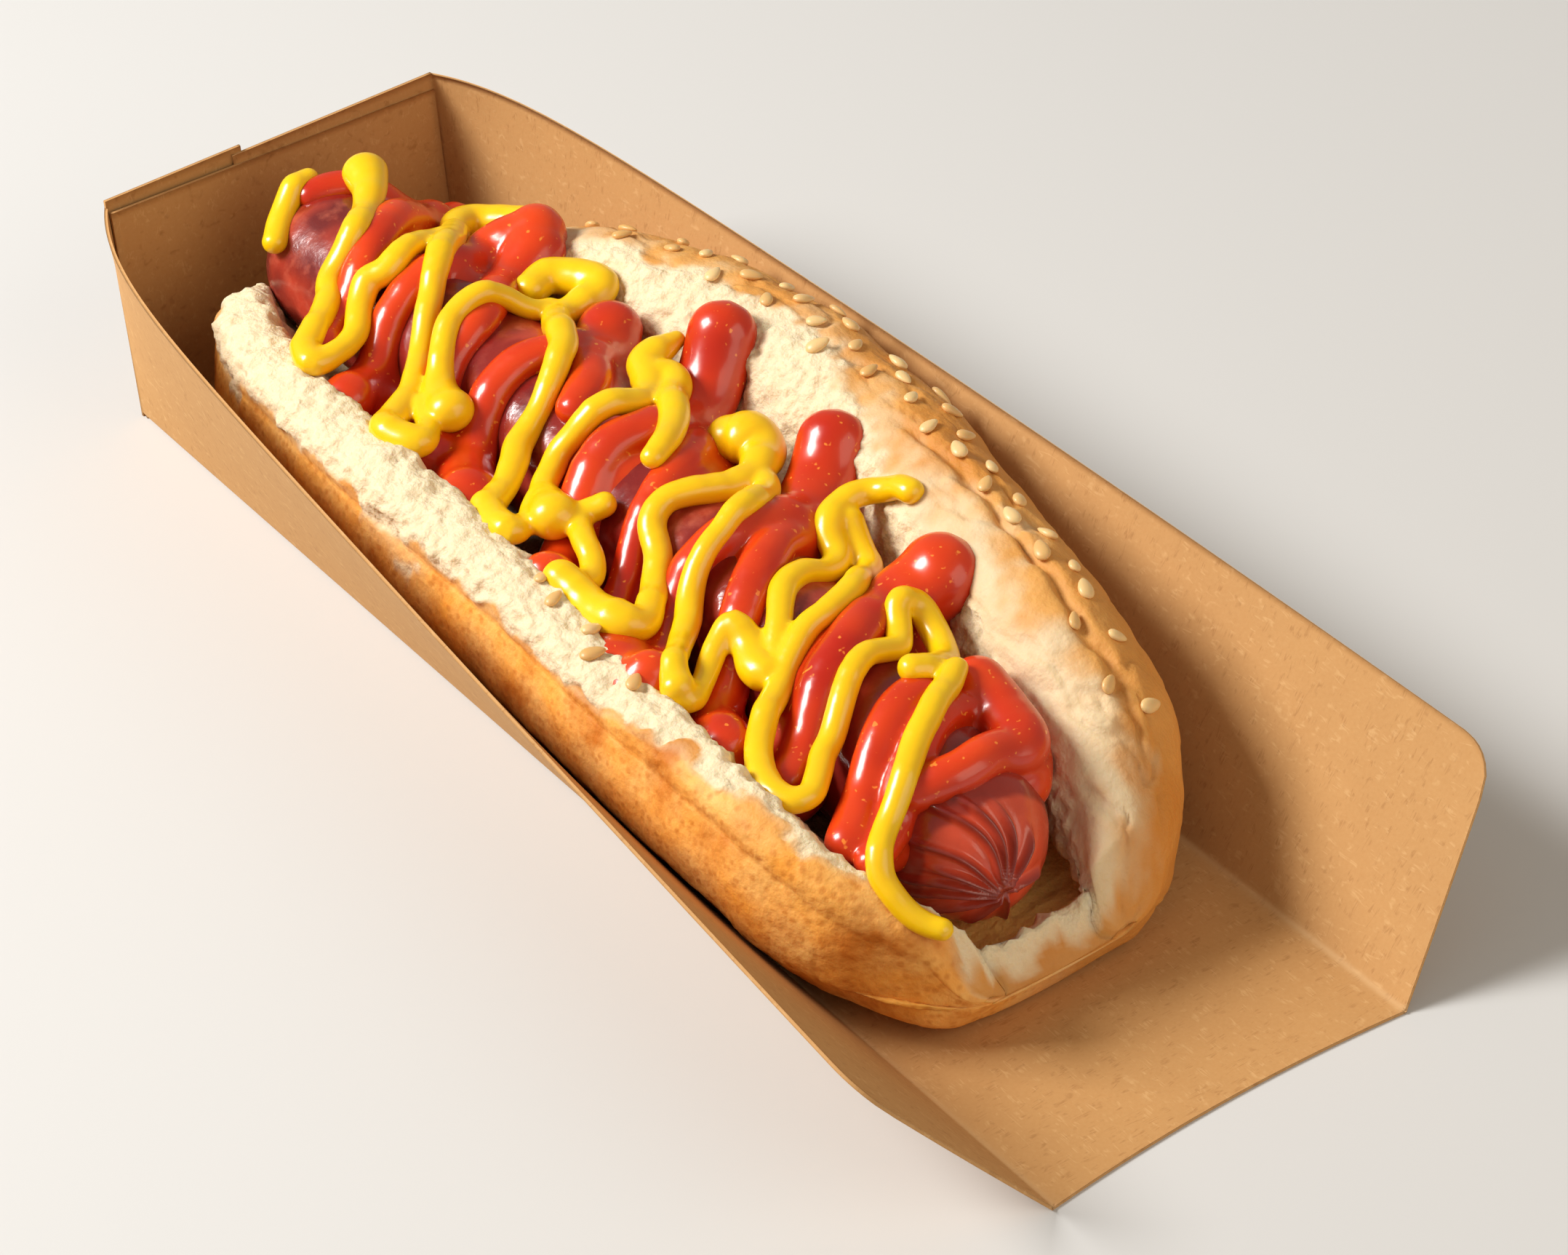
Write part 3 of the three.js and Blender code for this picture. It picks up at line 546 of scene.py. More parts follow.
colour = mixed(node, mask_of(node, "toast"), colour, toasted)
# Random specks and the pores are darkened towards CRUMB_SHADE; in the pores it is painted shade.
inner = mixed(node, times(node, specks, 0.16), CRUMB, CRUMB_SHADE)
inner = mixed(node, times(node, mask_of(node, "holes"), 0.18), inner, CRUMB_SHADE)
# Painted light in the hollow: the bright orange stands in for bounced light in its shade.
inner = mixed(node, mask_of(node, "hollow"), inner, CRUMB_PAINTED_GLOW)
colour = mixed(node, mask_of(node, "crumb"), colour, inner)
rough = ramp(node, mask_of(node, "crumb"), 0.0, 1.0, 0.4, 0.95)
grain = times(node, mottle(node, 900.0, 6.0, 0.3, 0.7), rough)
give({"Base Color": colour, "Normal": relief(node, grain, 0.6, 0.5)})
bread.data.materials.append(bread_skin)
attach(bread, "root")
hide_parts("bun_bottom", "bun_top")


# Hulled sesame seeds are baked onto the dome of the far half. Each is a flat drop three
# to four millimetres long, glossy and cream to straw coloured, stuck down at its own angle.
SEED_LENGTH, SEED_WIDTH, SEED_HEIGHT = 3.5, 2.1, 1.2
# Each seed's station and y. The last five lie in the near crumb, where they fell.
SEEDS = [
    [46, 29], [53, 31], [58, 27], [62, 35], [66, 30], [71, 33], [74, 37], [78, 29], [82, 34], [85, 38],
    [89, 31], [92, 36], [95, 40], [99, 33], [101, 38], [104, 29], [107, 35], [111, 39], [113, 32],
    [117, 36], [120, 40], [123, 33], [127, 37], [130, 31], [133, 35], [137, 30], [141, 33], [145, 28],
    [149, 32], [153, 27], [157, 30], [161, 25], [165, 29], [170, 27], [174, 22], [178, 26], [184, 20],
    [188, 23], [118, -27], [124, -29], [131, -28], [137, -31], [146, -30],
]


def points_near(points, x, y, reach=1.3):
    """The points within reach of a place seen from above, and their numbers."""
    flat = points.reshape(-1, 3)
    near = np.hypot(flat[:, 0] - x, flat[:, 1] - y) < reach
    return flat[near], np.flatnonzero(near)


def seed_shape(rows=9, columns=12):
    """A drop: a ball squeezed to the seed's sizes, narrowing towards one end as 1 - 0.28 x."""
    a = np.linspace(0, np.pi, rows)[:, None]
    b = np.linspace(0, 2 * np.pi, columns, endpoint=False)[None, :]
    x = np.broadcast_to(np.cos(a), (rows, columns))
    narrow = 1 - 0.28 * x
    return np.stack([SEED_LENGTH / 2 * x, SEED_WIDTH / 2 * np.sin(a) * np.cos(b) * narrow,
                     SEED_HEIGHT / 2 * np.sin(a) * np.sin(b) * narrow], -1)


shape = seed_shape()
facing = -normals_of(skin).reshape(-1, 3)
turns = np.random.default_rng(21)
seed_points, seed_faces, tints = [], [], []
for x, y in SEEDS:
    found, where = points_near(skin, x - CASE_LENGTH / 2, y)
    best = np.argsort(found[:, 2])[-6:]  # the six highest are the crust under the seed
    place, up = found[best].mean(0), facing[where[best]].mean(0)
    up /= np.linalg.norm(up)
    angle = turns.uniform(0, np.pi)
    side = np.cross(up, [math.cos(angle), math.sin(angle), 0.3])
    side /= np.linalg.norm(side)
    axes = np.array([np.cross(side, up), side, up])
    size = turns.uniform(0.88, 1.12)
    seed_faces += grid_faces(*shape.shape[:2], True, len(seed_points) * shape[..., 0].size, flip=True)
    seed_points.append((shape.reshape(-1, 3) * size) @ axes + place + 0.32 * up)
    tints.append(np.full(shape[..., 0].size, turns.uniform(0, 1)))
seeds = make_piece("sesame_seeds", np.concatenate(seed_points), seed_faces,
                   {"tint": np.concatenate(tints)})
SESAME_PALE, SESAME_STRAW = (0.84, 0.60, 0.28), (0.70, 0.40, 0.13)
sesame, node, give = new_material("sesame", {
    "Roughness": 0.38, "Subsurface Weight": 0.2, "Subsurface Scale": 0.001})
give({"Base Color": mixed(node, mask_of(node, "tint"), SESAME_PALE, SESAME_STRAW)})
seeds.data.materials.append(sesame)
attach(seeds, "root")


# The sausage is a smoked frankfurter in its own shiny skin, grilled until dark patches show.
# Its front end is gathered where the casing was tied, and folds fan out from the knot.
SAUSAGE_Y = [[11, -2.5], [60, -1], [110, -1.5], [150, -4], [195, -6.5]]
SAUSAGE_Z = [[11, 27.5], [60, 25], [110, 23.2], [150, 21.5], [195, 18.8]]
SAUSAGE_RADIUS, SAUSAGE_START, SAUSAGE_END, END_RADIUS = 12.2, 11.5, 196.0, 11.0
FRONT_RUN = 34.0  # the length at the front whose rows stand closer, for the folds
# The knot's place, and each fold's direction in degrees with its length.
KNOT = (195.9 - CASE_LENGTH / 2, -8.3, 17.9)
FOLDS = [(103, 20), (89, 17), (74, 14), (50, 10), (133, 17), (153, 12), (167, 18), (181, 20),
         (204, 14), (240, 9), (290, 9), (5, 8)]


def sausage_surface(columns=240):
    """A round bar along a gently bent line, closed by a cap at each end as a circle's arc. Near
    the front a groove runs out from the knot in each fold's direction: its depth is
    exp(-(s / width)^2), where s is the distance from the fold's middle line."""
    turn = np.radians(np.concatenate([[1.2], np.linspace(3, 90, 26)]))
    tip = np.radians(np.concatenate([np.linspace(90, 2, 56), [0.8]]))
    at = np.concatenate([
        SAUSAGE_START + END_RADIUS * (1 - np.cos(turn)),
        np.linspace(SAUSAGE_START + END_RADIUS, SAUSAGE_END - FRONT_RUN, 180)[1:],
        np.linspace(SAUSAGE_END - FRONT_RUN, SAUSAGE_END - END_RADIUS, 62)[1:-1],
        SAUSAGE_END - END_RADIUS * (1 - np.cos(tip))])
    run = np.minimum(at - SAUSAGE_START, SAUSAGE_END - at)
    cap = np.sqrt(1 - (1 - np.clip(run / END_RADIUS, 0, 1)) ** 2)
    radius = (END_RADIUS + (SAUSAGE_RADIUS - END_RADIUS) * smooth_step(run, 0, 45)) * cap
    angle = np.linspace(0, 2 * np.pi, columns, endpoint=False)[None, :]
    radius = radius[:, None] + 0.25 * np.sin(at / 9)[:, None] * cap[:, None] * np.ones_like(angle)
    x = np.broadcast_to((at - CASE_LENGTH / 2)[:, None], radius.shape)
    y = along(SAUSAGE_Y, at)[:, None] + radius * np.cos(angle)
    z = along(SAUSAGE_Z, at)[:, None] + radius * np.sin(angle)
    surface = np.stack([x, y, z], -1)
    outwards = normals_of(surface.transpose(1, 0, 2)).transpose(1, 0, 2)
    from_knot = surface - np.array(KNOT)
    sideways, upwards = from_knot[..., 1], from_knot[..., 2]
    away = np.linalg.norm(from_knot, axis=-1)
    bend = 0.16 * np.sin(away / 3.5)
    direction = np.arctan2(upwards, sideways)
    crease, swell = np.zeros_like(away), np.zeros_like(away)
    for degrees, reach in FOLDS:
        gap = direction + bend - math.radians(degrees)
        gap = (gap + np.pi) % (2 * np.pi) - np.pi
        aside = away * np.sin(np.clip(gap, -1.4, 1.4))
        line = np.exp(-(aside / (0.34 + 0.03 * away)) ** 2)
        line *= 1 - smooth_step(away, 0.6 * reach, reach)
        crease = np.maximum(crease, line * (np.abs(gap) < 1.2))
        fold = np.exp(-(aside / 1.3) ** 2) * (1 - smooth_step(away, 0.5 * reach, reach))
        swell = np.maximum(swell, fold)
    crease = np.maximum(crease, np.exp(-(away / 1.1) ** 2))
    tip_mask = 1 - smooth_step(away, 14, 26)
    height = 0.35 * swell - 1.5 * crease * smooth_step(away, 0.0, 1.5)
    height = height - 0.9 * np.exp(-(away / 1.4) ** 2)
    height = height + 0.12 * lumps(surface * [0.35, 1, 1], 6.0, 31, 2)
    return surface - outwards * height[..., None], crease, tip_mask


bar, crease, front = sausage_surface()
bar_rows, bar_columns = bar.shape[:2]
ring = np.arange(bar_columns)
sausage = make_piece(
    "sausage_skin", bar,
    grid_faces(bar_rows, bar_columns, True, flip=True)
    + [ring.tolist(), (ring[::-1] + (bar_rows - 1) * bar_columns).tolist()],
    {"crease": crease, "tip": front})
SAUSAGE_RED, SAUSAGE_GRILLED_AND_CREASE_SHADE, SAUSAGE_PAINTED_SHEEN = (0.52, 0.055, 0.026), (0.12, 0.010, 0.012), (0.74, 0.19, 0.11)
SAUSAGE_TIP, SAUSAGE_STAINED = (0.87, 0.105, 0.038), (0.22, 0.010, 0.008)
frank, node, give = new_material("sausage", {
    "Specular IOR Level": 0.6, "Subsurface Weight": 0.12, "Subsurface Radius": (1.0, 0.3, 0.2),
    "Subsurface Scale": 0.002, "Coat Weight": 0.2, "Coat Roughness": 0.2})
# The film mask, of where ketchup stains the skin, is made with the ketchup.
grilled = times(node, mottle(node, 60.0, 3.0, 0.42, 0.6), 0.9)
colour = mixed(node, grilled, SAUSAGE_RED, SAUSAGE_GRILLED_AND_CREASE_SHADE)
# Random pink patches are a painted sheen, light glancing off the skin.
sheen = times(node, mottle(node, 420.0, 4.0, 0.5, 0.75), 0.32)
colour = mixed(node, sheen, colour, SAUSAGE_PAINTED_SHEEN)
colour = mixed(node, times(node, mask_of(node, "tip"), 0.68), colour, SAUSAGE_TIP)
colour = mixed(node, times(node, mask_of(node, "film"), 0.72), colour, SAUSAGE_STAINED)
# The fold lines and the knot are darkened with painted shade.
colour = mixed(node, times(node, mask_of(node, "crease"), 0.8), colour, SAUSAGE_GRILLED_AND_CREASE_SHADE)
give({"Base Color": colour,
      "Roughness": ramp(node, mask_of(node, "film"), 0.0, 1.0, 0.23, 0.15),
      "Normal": relief(node, mottle(node, 260.0, 5.0, 0.3, 0.7), 0.35, 0.3)})
sausage.data.materials.append(frank)
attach(sausage, "root")
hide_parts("sausage")


# Ketchup was squeezed first, in a thick zigzag from side to side. It sags over the sausage,
# ends in fat lobes on the crumb, and shines like varnish, with tiny orange dots as painted glints.
CELL = 0.5
MAP_X, MAP_Y = np.arange(-116, 116, CELL), np.arange(-50, 50, CELL)


def cells_under(points):
    """The map's cell that each point stands over, as rows and columns."""
    flat = points.reshape(-1, 3)
    return (np.clip(np.round((flat[:, 0] - MAP_X[0]) / CELL).astype(int), 0, len(MAP_X) - 1),
            np.clip(np.round((flat[:, 1] - MAP_Y[0]) / CELL).astype(int), 0, len(MAP_Y) - 1))


def height_map(clouds, fill=5.0):
    """The height of the highest surface point over each half millimetre seen from above. Holes
    and grooves up to twice the fill across are bridged, as sauce bridges them."""
    top = np.full((len(MAP_X), len(MAP_Y)), 8.0)
    for cloud in clouds:
        np.maximum.at(top, cells_under(cloud), cloud[..., 2].ravel())
    return sweep(sweep(top, fill, np.maximum), fill, np.minimum)


def sweep(heights, reach, pick):
    """Each cell takes the highest, or lowest, of the cells within reach."""
    steps = int(reach / CELL)
    padded = np.pad(heights, steps, mode="edge")
    rows, columns = heights.shape
    best = heights.copy()
    for i in range(-steps, steps + 1, 2):
        for j in range(-steps, steps + 1, 2):
            if i * i + j * j <= steps * steps:
                best = pick(best, padded[steps + i:steps + i + rows, steps + j:steps + j + columns])
    return best


def height_at(heights, x, y):
    """The map's height at any place, blended between its four nearest cells."""
    fx = np.clip((x - MAP_X[0]) / CELL, 0, len(MAP_X) - 1.001)
    fy = np.clip((y - MAP_Y[0]) / CELL, 0, len(MAP_Y) - 1.001)
    i, j = fx.astype(int), fy.astype(int)
    u, w = fx - i, fy - j
    return ((heights[i, j] * (1 - u) + heights[i + 1, j] * u) * (1 - w)
            + (heights[i, j + 1] * (1 - u) + heights[i + 1, j + 1] * u) * w)


def strand(places, heights, slack=0.02, sink=0.35, sides=20, step=0.55):
    """A squeezed line: a Catmull-Rom curve through [station, y, radius] places, laid as a taut
    rope over what it crosses (each point rests at the mean of its neighbours or on the surface),
    with a round tube about it, wider than it is high, and a ball at each end. Its middle stands
    sink times the radius over the surface, and thick lobes up to 0.3 of it more."""
    places = np.array(places, float)
    places[:, 0] -= CASE_LENGTH / 2
    count = max(int(np.linalg.norm(np.diff(places[:, :2], axis=0), axis=1).sum() / step), 8)
    fine, _ = spline(places, np.linspace(0, 1, count * 4))
    run = np.concatenate([[0], np.cumsum(np.linalg.norm(np.diff(fine[:, :2], axis=0), axis=1))])
    even = np.linspace(0, run[-1], count)
    x, y, radius = (np.interp(even, run, fine[:, k]) for k in range(3))
    lift = sink + 0.3 * smooth_step(radius, 3.2, 4.6) * (sink > 0)
    rest = height_at(heights, x, y) + lift * radius
    z = rest.copy()
    for _ in range(90):  # enough rounds for the longest span to come to rest
        middle = (np.concatenate([z[:1], z[:-1]]) + np.concatenate([z[1:], z[-1:]])) / 2 - slack
        z = np.maximum(rest, middle)
    middle = np.stack([x, y, z], -1)
    way = np.gradient(middle, axis=0)
    way /= np.linalg.norm(way, axis=1, keepdims=True)
    tips = np.linspace(-1, 0, 7)[:-1]
    head = middle[0] + way[0] * radius[0] * tips[:, None]
    tail = middle[-1] - way[-1] * radius[-1] * tips[::-1, None]
    scale = np.sqrt(1 - tips**2)
    scale[0] = 0.05
    middle = np.concatenate([head, middle, tail])
    radius = np.concatenate([radius[0] * scale, radius, radius[-1] * scale[::-1]])
    way = np.concatenate([np.repeat(way[:1], 6, 0), way, np.repeat(way[-1:], 6, 0)])
    side = np.cross(way, [0, 0, 1])
    side /= np.maximum(np.linalg.norm(side, axis=1, keepdims=True), 1e-6)
    up = np.cross(side, way)
    angle = np.linspace(0, 2 * np.pi, sides, endpoint=False)[None, :, None]
    return middle[:, None] + radius[:, None, None] * (
        1.06 * np.cos(angle) * side[:, None] + 0.94 * np.sin(angle) * up[:, None])


def melt(name, tubes, voxel, smoothing):
    """One sauce: closed tubes joined into a single skin by a voxel remesh, then relaxed."""
    points, faces = [], []
    for tube in tubes:
        first = sum(len(p) for p in points)
        rings, sides = tube.shape[:2]
        points.append(tube.reshape(-1, 3))
        faces += grid_faces(rings, sides, True, first)
        ring = np.arange(sides)
        faces += [(ring + first).tolist(), (ring[::-1] + first + (rings - 1) * sides).tolist()]
    rough = make_piece(name + "_rough", np.concatenate(points), faces)
    joined = rough.modifiers.new("join", "REMESH")
    joined.mode = "VOXEL"
    joined.voxel_size = voxel * MM
    relaxed = rough.modifiers.new("relax", "SMOOTH")
    relaxed.factor = 0.5
    relaxed.iterations = smoothing
    held = rough.evaluated_get(bpy.context.evaluated_depsgraph_get())
    mesh = bpy.data.meshes.new_from_object(held)
    mesh.name = name
    mesh.polygons.foreach_set("use_smooth", np.ones(len(mesh.polygons), bool))
    bpy.data.objects.remove(rough)
    piece = bpy.data.objects.new(name, mesh)
    bpy.context.scene.collection.objects.link(piece)
    return piece


# Each strand goes through places of [station, y, radius].
KETCHUP = [
    [[17, -3, 2.6], [18, 1, 2.9], [20, 6, 3.1], [22, 12, 3.5], [23, 17.5, 4.0]],
    [[24, 13, 3.8], [29, 6, 3.3], [35, -2, 3.1], [40, -9, 3.0], [43, -15, 3.0], [46, -19, 3.6]],
    [[47, 18, 5.0], [44, 12, 4.0], [46, 6, 3.2], [48, -1, 2.9], [50, -9, 2.9], [54, -16, 3.1],
     [58, -22.5, 4.0]],
    [[50, 16, 4.6], [54, 8, 3.2], [60, 2, 3.0], [64, -3, 3.0], [66, -9, 3.0], [70, -15, 3.4],
     [77, -20, 4.0]],
    [[73, 14, 4.6], [76, 8, 3.8], [77, 2, 3.2], [76, -5, 3.1], [78, -12, 3.2], [83, -18, 4.0],
     [90, -22, 4.8]],
    [[75, 13, 4.0], [80, 6, 3.6], [86, 2, 3.2], [90, -3, 2.9]],
    [[90, 22.5, 5.0], [94, 15, 4.8], [98, 9, 4.0], [101, 2, 3.6], [101, -5, 3.5], [104, -12, 3.5],
     [109, -19, 3.4], [114, -24, 3.8]],
    [[98, 11, 3.6], [105, 7, 3.4], [110, 2, 3.0], [113, -4, 2.6], [116, -10, 2.5], [121, -17, 2.6],
     [125, -22, 2.4]],
    [[119, 21, 5.0], [123, 15, 5.0], [127, 9, 4.6], [129, 3, 3.8], [128, -6, 3.0], [130, -14, 3.0],
     [136, -21, 3.4], [143, -26.5, 3.8]],
    [[130, 9, 3.8], [133, 2, 3.2], [137, -4, 3.2], [141, -10, 3.0], [146, -16, 3.0], [151, -22, 3.4],
     [158, -25, 3.8]],
    [[151.5, 15.5, 6.0], [151, 9, 5.0], [153, 3, 3.8], [157, -4, 3.2], [160, -10, 3.2], [164, -16, 3.0],
     [168, -22, 2.8]],
    [[171.5, 7.5, 3.6], [170, 1, 3.0], [171, -5, 2.9], [174, -11, 2.9], [178, -17, 3.0], [183, -23, 3.2]],
    [[175, 1, 2.4], [177, -5, 2.6], [181, -11, 2.6], [185, -18, 2.6], [188, -23, 2.4]],
    [[171.5, 6.5, 4.0], [178, 6, 3.8], [184, 4, 4.0], [185, -1, 3.2], [186, -7, 3.0], [184, -13, 3.0]],
]
# Wide, thin smears of it under the strands: most of each tube lies inside what it covers.
FILMS = [
    [[22, 12, 4], [28, 6, 4.5], [33, 0, 4]],
    [[42, 14, 5.5], [47, 9, 5.5], [50, 3, 4.5]],
    [[52, -12, 4], [57, -18, 4.5]],
    [[76, -16, 5], [83, -21, 6.5], [90, -24, 6]],
    [[76, 12, 5.5], [81, 6, 5], [87, 1, 4.5]],
    [[94, 13, 6], [99, 6, 6], [103, -1, 5.5], [103, -8, 5.5], [106, -15, 5], [112, -22, 5.5],
     [117, -25, 5]],
    [[106, 8, 5], [111, 3, 5], [116, -2, 4.5]],
    [[121, 16, 7], [126, 10, 7.5], [130, 4, 6], [133, -2, 5]],
    [[126, -24, 5], [134, -27, 5.5], [143, -28, 5]],
    [[150, 11, 7], [151, 4, 7], [154, -3, 6.5], [158, -9, 6], [162, -16, 5.5], [166, -21, 4.5]],
    [[149, -21, 5], [153, -24, 5.5], [159, -26, 5]],
    [[172, 4, 5], [174, -3, 5.5], [178, -10, 5.5], [182, -17, 5]],
    [[173, 7, 5.5], [179, 5, 6], [184, 2, 5.5]],
]
under_ketchup = height_map([skin, bar])
ketchup_tubes = [strand(places, under_ketchup, sink=0.1) for places in KETCHUP]
ketchup_tubes += [strand(places, under_ketchup, sink=-0.81) for places in FILMS]
ketchup = melt("ketchup", ketchup_tubes, 0.56, 7)

# The sausage is stained wherever the strands cover it: their cells, widened and then blurred.
cover = np.zeros((len(MAP_X), len(MAP_Y)))
for tube in ketchup_tubes[:len(KETCHUP)]:
    cover[cells_under(tube)] = 1
cover = sweep(cover, 2.0, np.maximum)
for _ in range(6):
    beside = (np.roll(cover, 1, 0), np.roll(cover, -1, 0), np.roll(cover, 1, 1), np.roll(cover, -1, 1))
    cover = sum(beside, cover) / 5
film = height_at(cover, bar[..., 0], bar[..., 1]) + 0.25 * lumps(bar, 4.0, 41, 2)
film = smooth_step(film, 0.3, 0.7) * smooth_step(bar[..., 2], 16, 20)
layer = sausage.data.attributes.new("film", "FLOAT", "POINT")
layer.data.foreach_set("value", film.astype(np.float32).ravel())

KETCHUP_RED, KETCHUP_BRIGHT, KETCHUP_GLINT = (0.50, 0.016, 0.003), (0.76, 0.060, 0.005), (0.85, 0.25, 0.03)
tomato, node, give = new_material("ketchup", {
    "Roughness": 0.26, "Subsurface Weight": 0.35, "Subsurface Radius": (1.0, 0.12, 0.05),
    "Subsurface Scale": 0.0025, "Coat Weight": 0.3, "Coat Roughness": 0.1})
colour = mixed(node, mottle(node, 60.0, 2.0, 0.35, 0.65), KETCHUP_RED, KETCHUP_BRIGHT)
# Tiny bright orange dots are painted glints.
colour = mixed(node, mottle(node, 950.0, 1.0, 0.69, 0.75), colour, KETCHUP_GLINT)
give({"Base Color": colour, "Normal": relief(node, mottle(node, 170.0, 3.0, 0.3, 0.7), 0.12, 0.5)})
ketchup.data.materials.append(tomato)
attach(ketchup, "root")


# Mustard came last, in a thinner zigzag over the ketchup. It is smooth and opaque, bright
# yellow with a soft shine, and it gathers in blobs wherever the nozzle slowed or turned.
# Each strand goes through places of [station, y, radius], as the ketchup's do.
MUSTARD = [
    [[14.5, -1.5, 1.6], [15.5, -5, 1.9], [18, -9, 2.0], [21, -12, 1.9]],
    [[20.5, 5, 3.4], [25, 3, 2.6], [29, 0, 2.2], [34, -5, 2.1], [36, -11, 2.0], [40, -14, 2.0],
     [44, -18, 1.9], [48, -23, 2.2]],
    [[48, -23, 2.2], [52, -24, 2.2], [52, -20, 1.9], [50, -15.5, 1.9], [46, -12, 2.0], [44, -9, 2.2],
     [45, -6, 2.2], [43.5, -1.5, 1.9], [41.5, 3, 1.8], [41, 6, 1.7]],
    [[41, 21.5, 2.0], [36, 21, 2.5], [31, 17, 2.7], [32, 13, 2.4], [37, 10, 2.1], [43, 6, 2.1],
     [49, 0.5, 2.1], [52.5, -3, 1.9], [56, -6.5, 1.9], [60, -10.5, 1.8], [64, -14, 1.8], [67, -17, 1.7],
     [71, -22, 2.2]],
    [[71, -22, 2.2], [74, -25, 2.4], [79, -23, 2.5], [77, -20, 1.8], [73, -18, 1.7], [71, -17, 1.7]],
    [[76, -15.5, 3.4], [71, -14, 2.6], [67.5, -11.5, 1.9], [63.5, -7.5, 1.9], [62, -3.5, 1.9],
     [62.5, 2, 1.8], [64.5, 6, 1.7], [65, 9, 1.7]],
    [[58, 10, 2.6], [57, 14, 2.8], [61, 17.5, 3.0], [65, 18, 2.6], [66, 14, 2.6], [67.5, 9, 2.2],
     [72.5, 5.5, 2.2], [77, 3.5, 2.2], [80.5, 1.5, 2.1], [84, -3, 1.9], [86, -7, 1.8], [88, -11.5, 2.1],
     [91, -14.5, 2.1], [94, -18, 2.0], [97, -22.5, 2.3]],
    [[97, -23, 2.3], [101, -24, 2.2], [105, -24, 2.2], [103.5, -20.5, 1.6], [101, -18, 1.6],
     [99, -15, 1.7]],
    [[106, -17.5, 3.6], [102, -16, 2.6], [98.5, -14.5, 2.0], [96, -11.5, 1.9], [94.5, -8.5, 1.9],
     [95.5, -4.5, 2.0], [96, 1, 2.1], [95.5, 5, 2.1], [91, 9, 2.4], [87, 11, 2.7], [86, 14, 2.4],
     [85.5, 17.5, 1.4]],
    [[90, 9, 2.4], [91, 12, 2.4], [94, 11.5, 2.3], [97.5, 8.5, 2.3], [103.5, 5, 2.2], [108, 0.7, 2.0],
     [110, -3, 1.8]],
    [[109, -11, 1.9], [108, -14.5, 1.9], [112.5, -17, 1.8], [117, -18.5, 1.8], [120, -21, 1.8],
     [120, -24, 2.0]],
    [[119, -25, 2.4], [123, -24.5, 2.6], [128, -24.5, 2.8], [132, -23.5, 3.0], [133, -21, 2.4],
     [130, -17.5, 2.0], [126.5, -14.5, 2.0], [123, -11.5, 2.0], [118.5, -9.3, 2.0], [117, -6.3, 2.0],
     [117.5, -3.5, 2.1], [118.5, 0.3, 2.3], [118.8, 4.5, 2.4], [117.5, 9, 2.6], [113, 13, 3.4],
     [109.5, 13, 4.1], [107, 11.5, 3.4]],
    [[118, 9, 1.9], [123, 7, 1.9], [127.3, 1.3, 2.0], [129, -3.5, 1.7], [130, -7, 1.7], [131.5, -11, 1.8],
     [133.5, -13.5, 1.9], [136.5, -16, 1.9], [139.5, -19, 1.8], [142.5, -21.5, 1.7], [146, -24.5, 1.9],
     [149, -26, 2.4]],
    [[149, -26, 2.4], [150.5, -25, 1.9], [148, -21.5, 1.6], [145.5, -18.5, 1.7], [143.8, -15.5, 1.8],
     [143.3, -13.2, 1.9], [146, -12.8, 2.2], [150, -14, 2.8], [152.3, -13.8, 2.8], [151.8, -12, 2.2],
     [149.8, -10.5, 1.9], [146.8, -7.8, 1.8], [144, -5.5, 1.9], [142, -3.3, 2.0], [140.8, 0.2, 1.9],
     [140.5, 3.7, 1.9], [137.8, 8, 2.0], [133.8, 9.7, 2.2], [131.5, 13, 2.1], [131.5, 17.5, 2.0],
     [134.5, 20, 1.9], [138.5, 20.5, 1.9]],
    [[134, 13, 2.0], [138, 12, 1.9], [141.2, 11, 1.8], [144.8, 7, 1.8], [148.3, 3.2, 1.9],
     [150.5, -2.5, 1.9], [151, -6, 1.9], [152.3, -9, 1.9], [154, -12, 1.9], [156.3, -15, 1.9],
     [158.5, -18, 1.9], [161.5, -21.5, 1.9], [164.5, -24, 1.9], [168, -26, 2.0]],
    [[168, -26, 2.0], [172, -27, 2.0], [175, -26, 1.9], [175.5, -23.5, 1.8], [173, -20.5, 1.8],
     [170, -17.5, 1.8], [168.5, -15, 1.8], [166.3, -11.8, 1.8], [164.2, -8.8, 1.8], [162.5, -5.5, 1.8],
     [161.8, -3, 1.8], [161.5, -0.7, 1.8], [161, 1.5, 1.8], [158.5, 3.5, 1.8], [155.5, 5.7, 1.8],
     [155.5, 8.5, 2.0], [158.5, 8.7, 2.0], [162.5, 7.5, 2.0], [166.5, 5, 2.0], [168.8, 1, 2.0],
     [168.5, -1.5, 2.1]],
    [[171.5, 3.5, 1.6], [173.2, 1, 1.9], [175.5, -2.5, 1.9], [178, -6, 1.9], [180.5, -10, 1.9],
     [184, -14.5, 1.8], [187, -20, 1.7], [190.5, -23.5, 1.8], [193.5, -24, 1.7], [197, -23, 1.7],
     [200, -21, 1.6]],
]
under_mustard = height_map([skin, bar] + ketchup_tubes)
mustard = melt("mustard", [strand(places, under_mustard) for places in MUSTARD], 0.4, 6)
MUSTARD_YELLOW, MUSTARD_DEEP = (0.93, 0.59, 0.002), (0.88, 0.50, 0.002)
mustard_paste, node, give = new_material("mustard", {
    "Roughness": 0.28, "Subsurface Weight": 0.3, "Subsurface Radius": (1.0, 0.6, 0.1),
    "Subsurface Scale": 0.002, "Coat Weight": 0.3, "Coat Roughness": 0.15})
tone = times(node, mottle(node, 120.0, 2.0, 0.4, 0.7), 0.5)
give({"Base Color": mixed(node, tone, MUSTARD_YELLOW, MUSTARD_DEEP),
      "Normal": relief(node, mottle(node, 260.0, 3.0, 0.3, 0.7), 0.06, 0.2)})
mustard.data.materials.append(mustard_paste)
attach(mustard, "root")


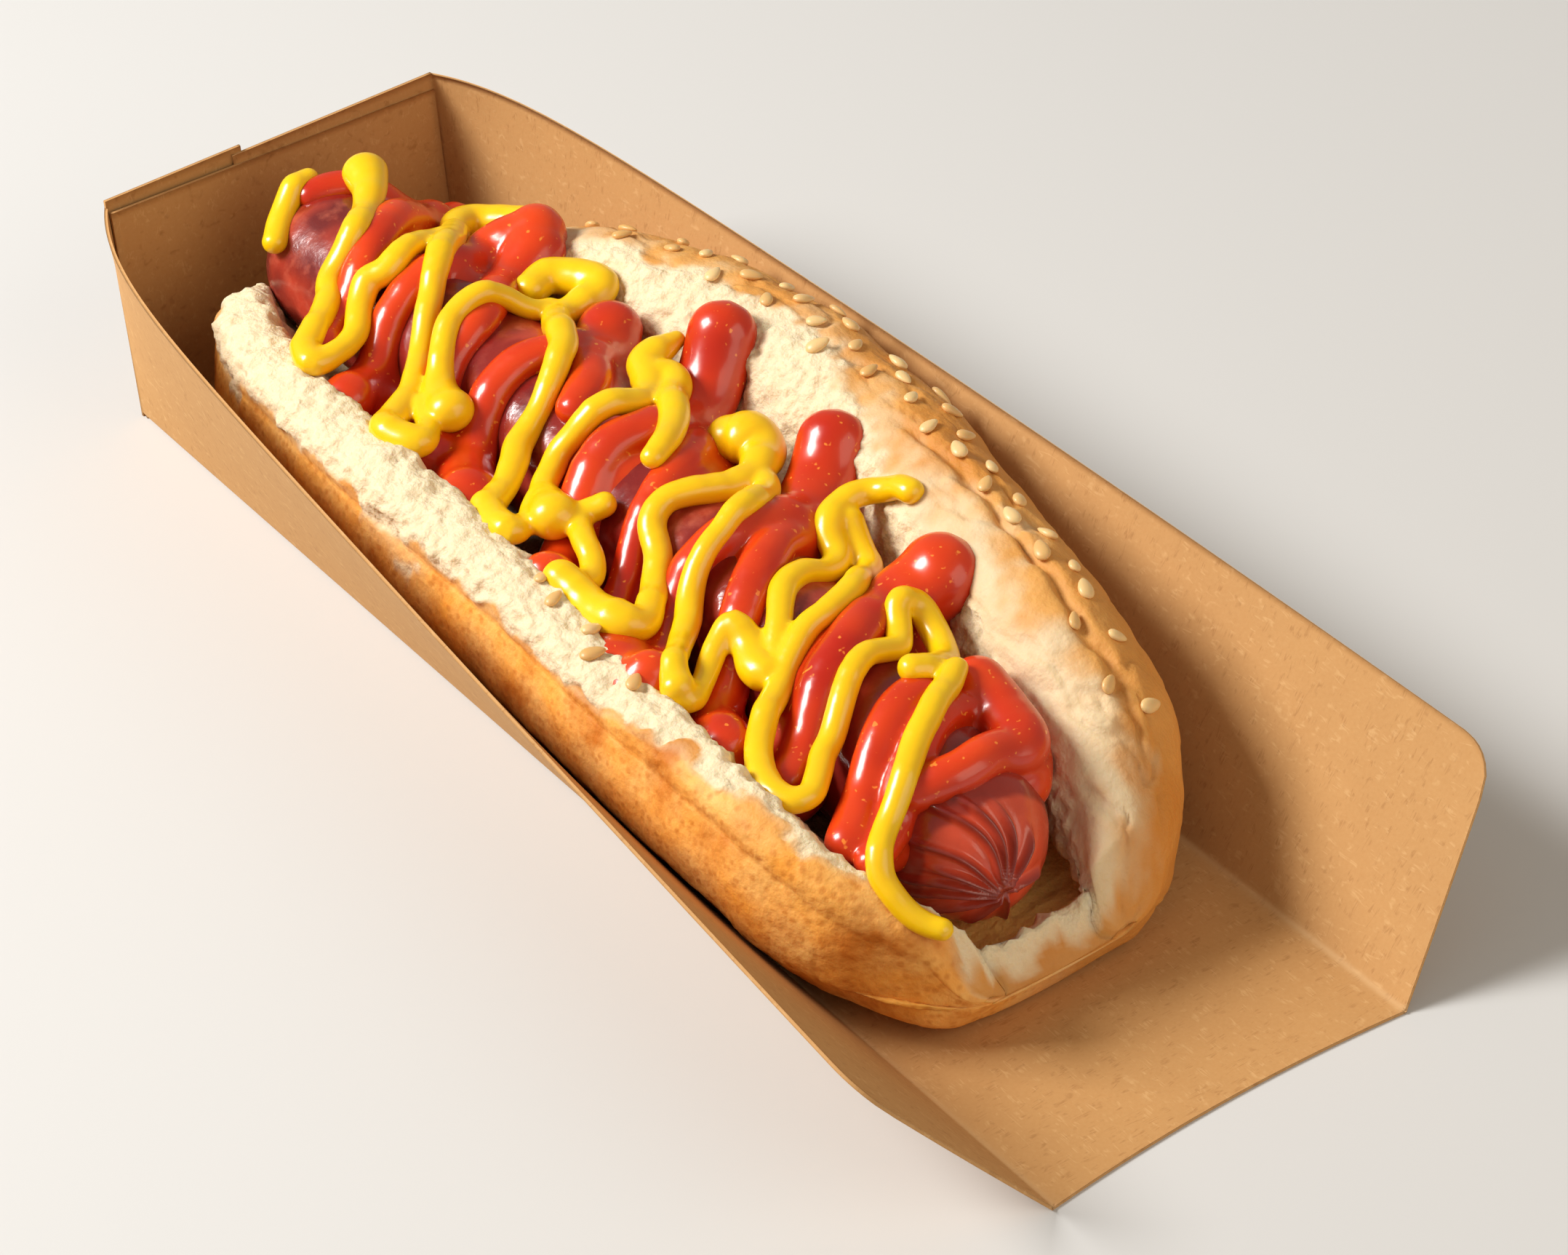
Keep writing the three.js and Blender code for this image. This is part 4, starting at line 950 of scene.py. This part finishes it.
# A plain pale floor, a strong soft lamp high on the left, a weak and wider one from the front
# on the right, and a camera that looks down on the open front corner of the case.
floor_mesh = bpy.data.meshes.new("floor")
floor_mesh.from_pydata([(-4, -4, 0), (4, -4, 0), (4, 4, 0), (-4, 4, 0)], [], [(0, 1, 2, 3)])
floor = bpy.data.objects.new("floor", floor_mesh)
bpy.context.scene.collection.objects.link(floor)
pale_floor, node, give = new_material("pale_floor", {
    "Base Color": (0.64, 0.64, 0.635), "Roughness": 0.8, "Specular IOR Level": 0.2})
floor_mesh.materials.append(pale_floor)

TARGET = Vector((0.0, 0.0, 0.02))


def soft_lamp(name, place, size, power, colour):
    """A square lamp at a place in metres that faces the target."""
    lamp = bpy.data.lights.new(name, "AREA")
    lamp.size, lamp.energy, lamp.color = size, power, colour
    holder = bpy.data.objects.new(name, lamp)
    holder.location = place
    holder.rotation_euler = (TARGET - Vector(place)).to_track_quat("-Z", "Y").to_euler()
    bpy.context.scene.collection.objects.link(holder)


soft_lamp("main_light", (-0.50, -0.62, 0.74), 0.42, 16.0, (1.0, 0.98, 0.95))
soft_lamp("fill_light", (0.95, 0.30, 0.55), 0.9, 4.4, (1.0, 0.87, 0.70))
world = bpy.data.worlds.new("room")
world.use_nodes = True
feed(world.node_tree, world.node_tree.nodes["Background"],
     {"Color": (1.0, 0.92, 0.82), "Strength": 0.28})
bpy.context.scene.world = world
bpy.context.scene.view_settings.view_transform = "Standard"

lens = bpy.data.cameras.new("camera")
lens.sensor_width = 36.0
lens.lens = 120.22
camera = bpy.data.objects.new("camera", lens)
bpy.context.scene.collection.objects.link(camera)
azimuth, elevation, roll = math.radians(-31.952), math.radians(36.887), math.radians(-5.4068)
back = Vector((math.cos(elevation) * math.cos(azimuth), math.cos(elevation) * math.sin(azimuth),
               math.sin(elevation)))
level = Vector((0, 0, 1)).cross(back).normalized()
upright = back.cross(level)
right = math.cos(roll) * level + math.sin(roll) * upright
up = back.cross(right)
turned = Matrix((right, up, back)).transposed().to_4x4()
camera.matrix_world = Matrix.Translation((0.508548, -0.305184, 0.454550)) @ turned
bpy.context.scene.camera = camera
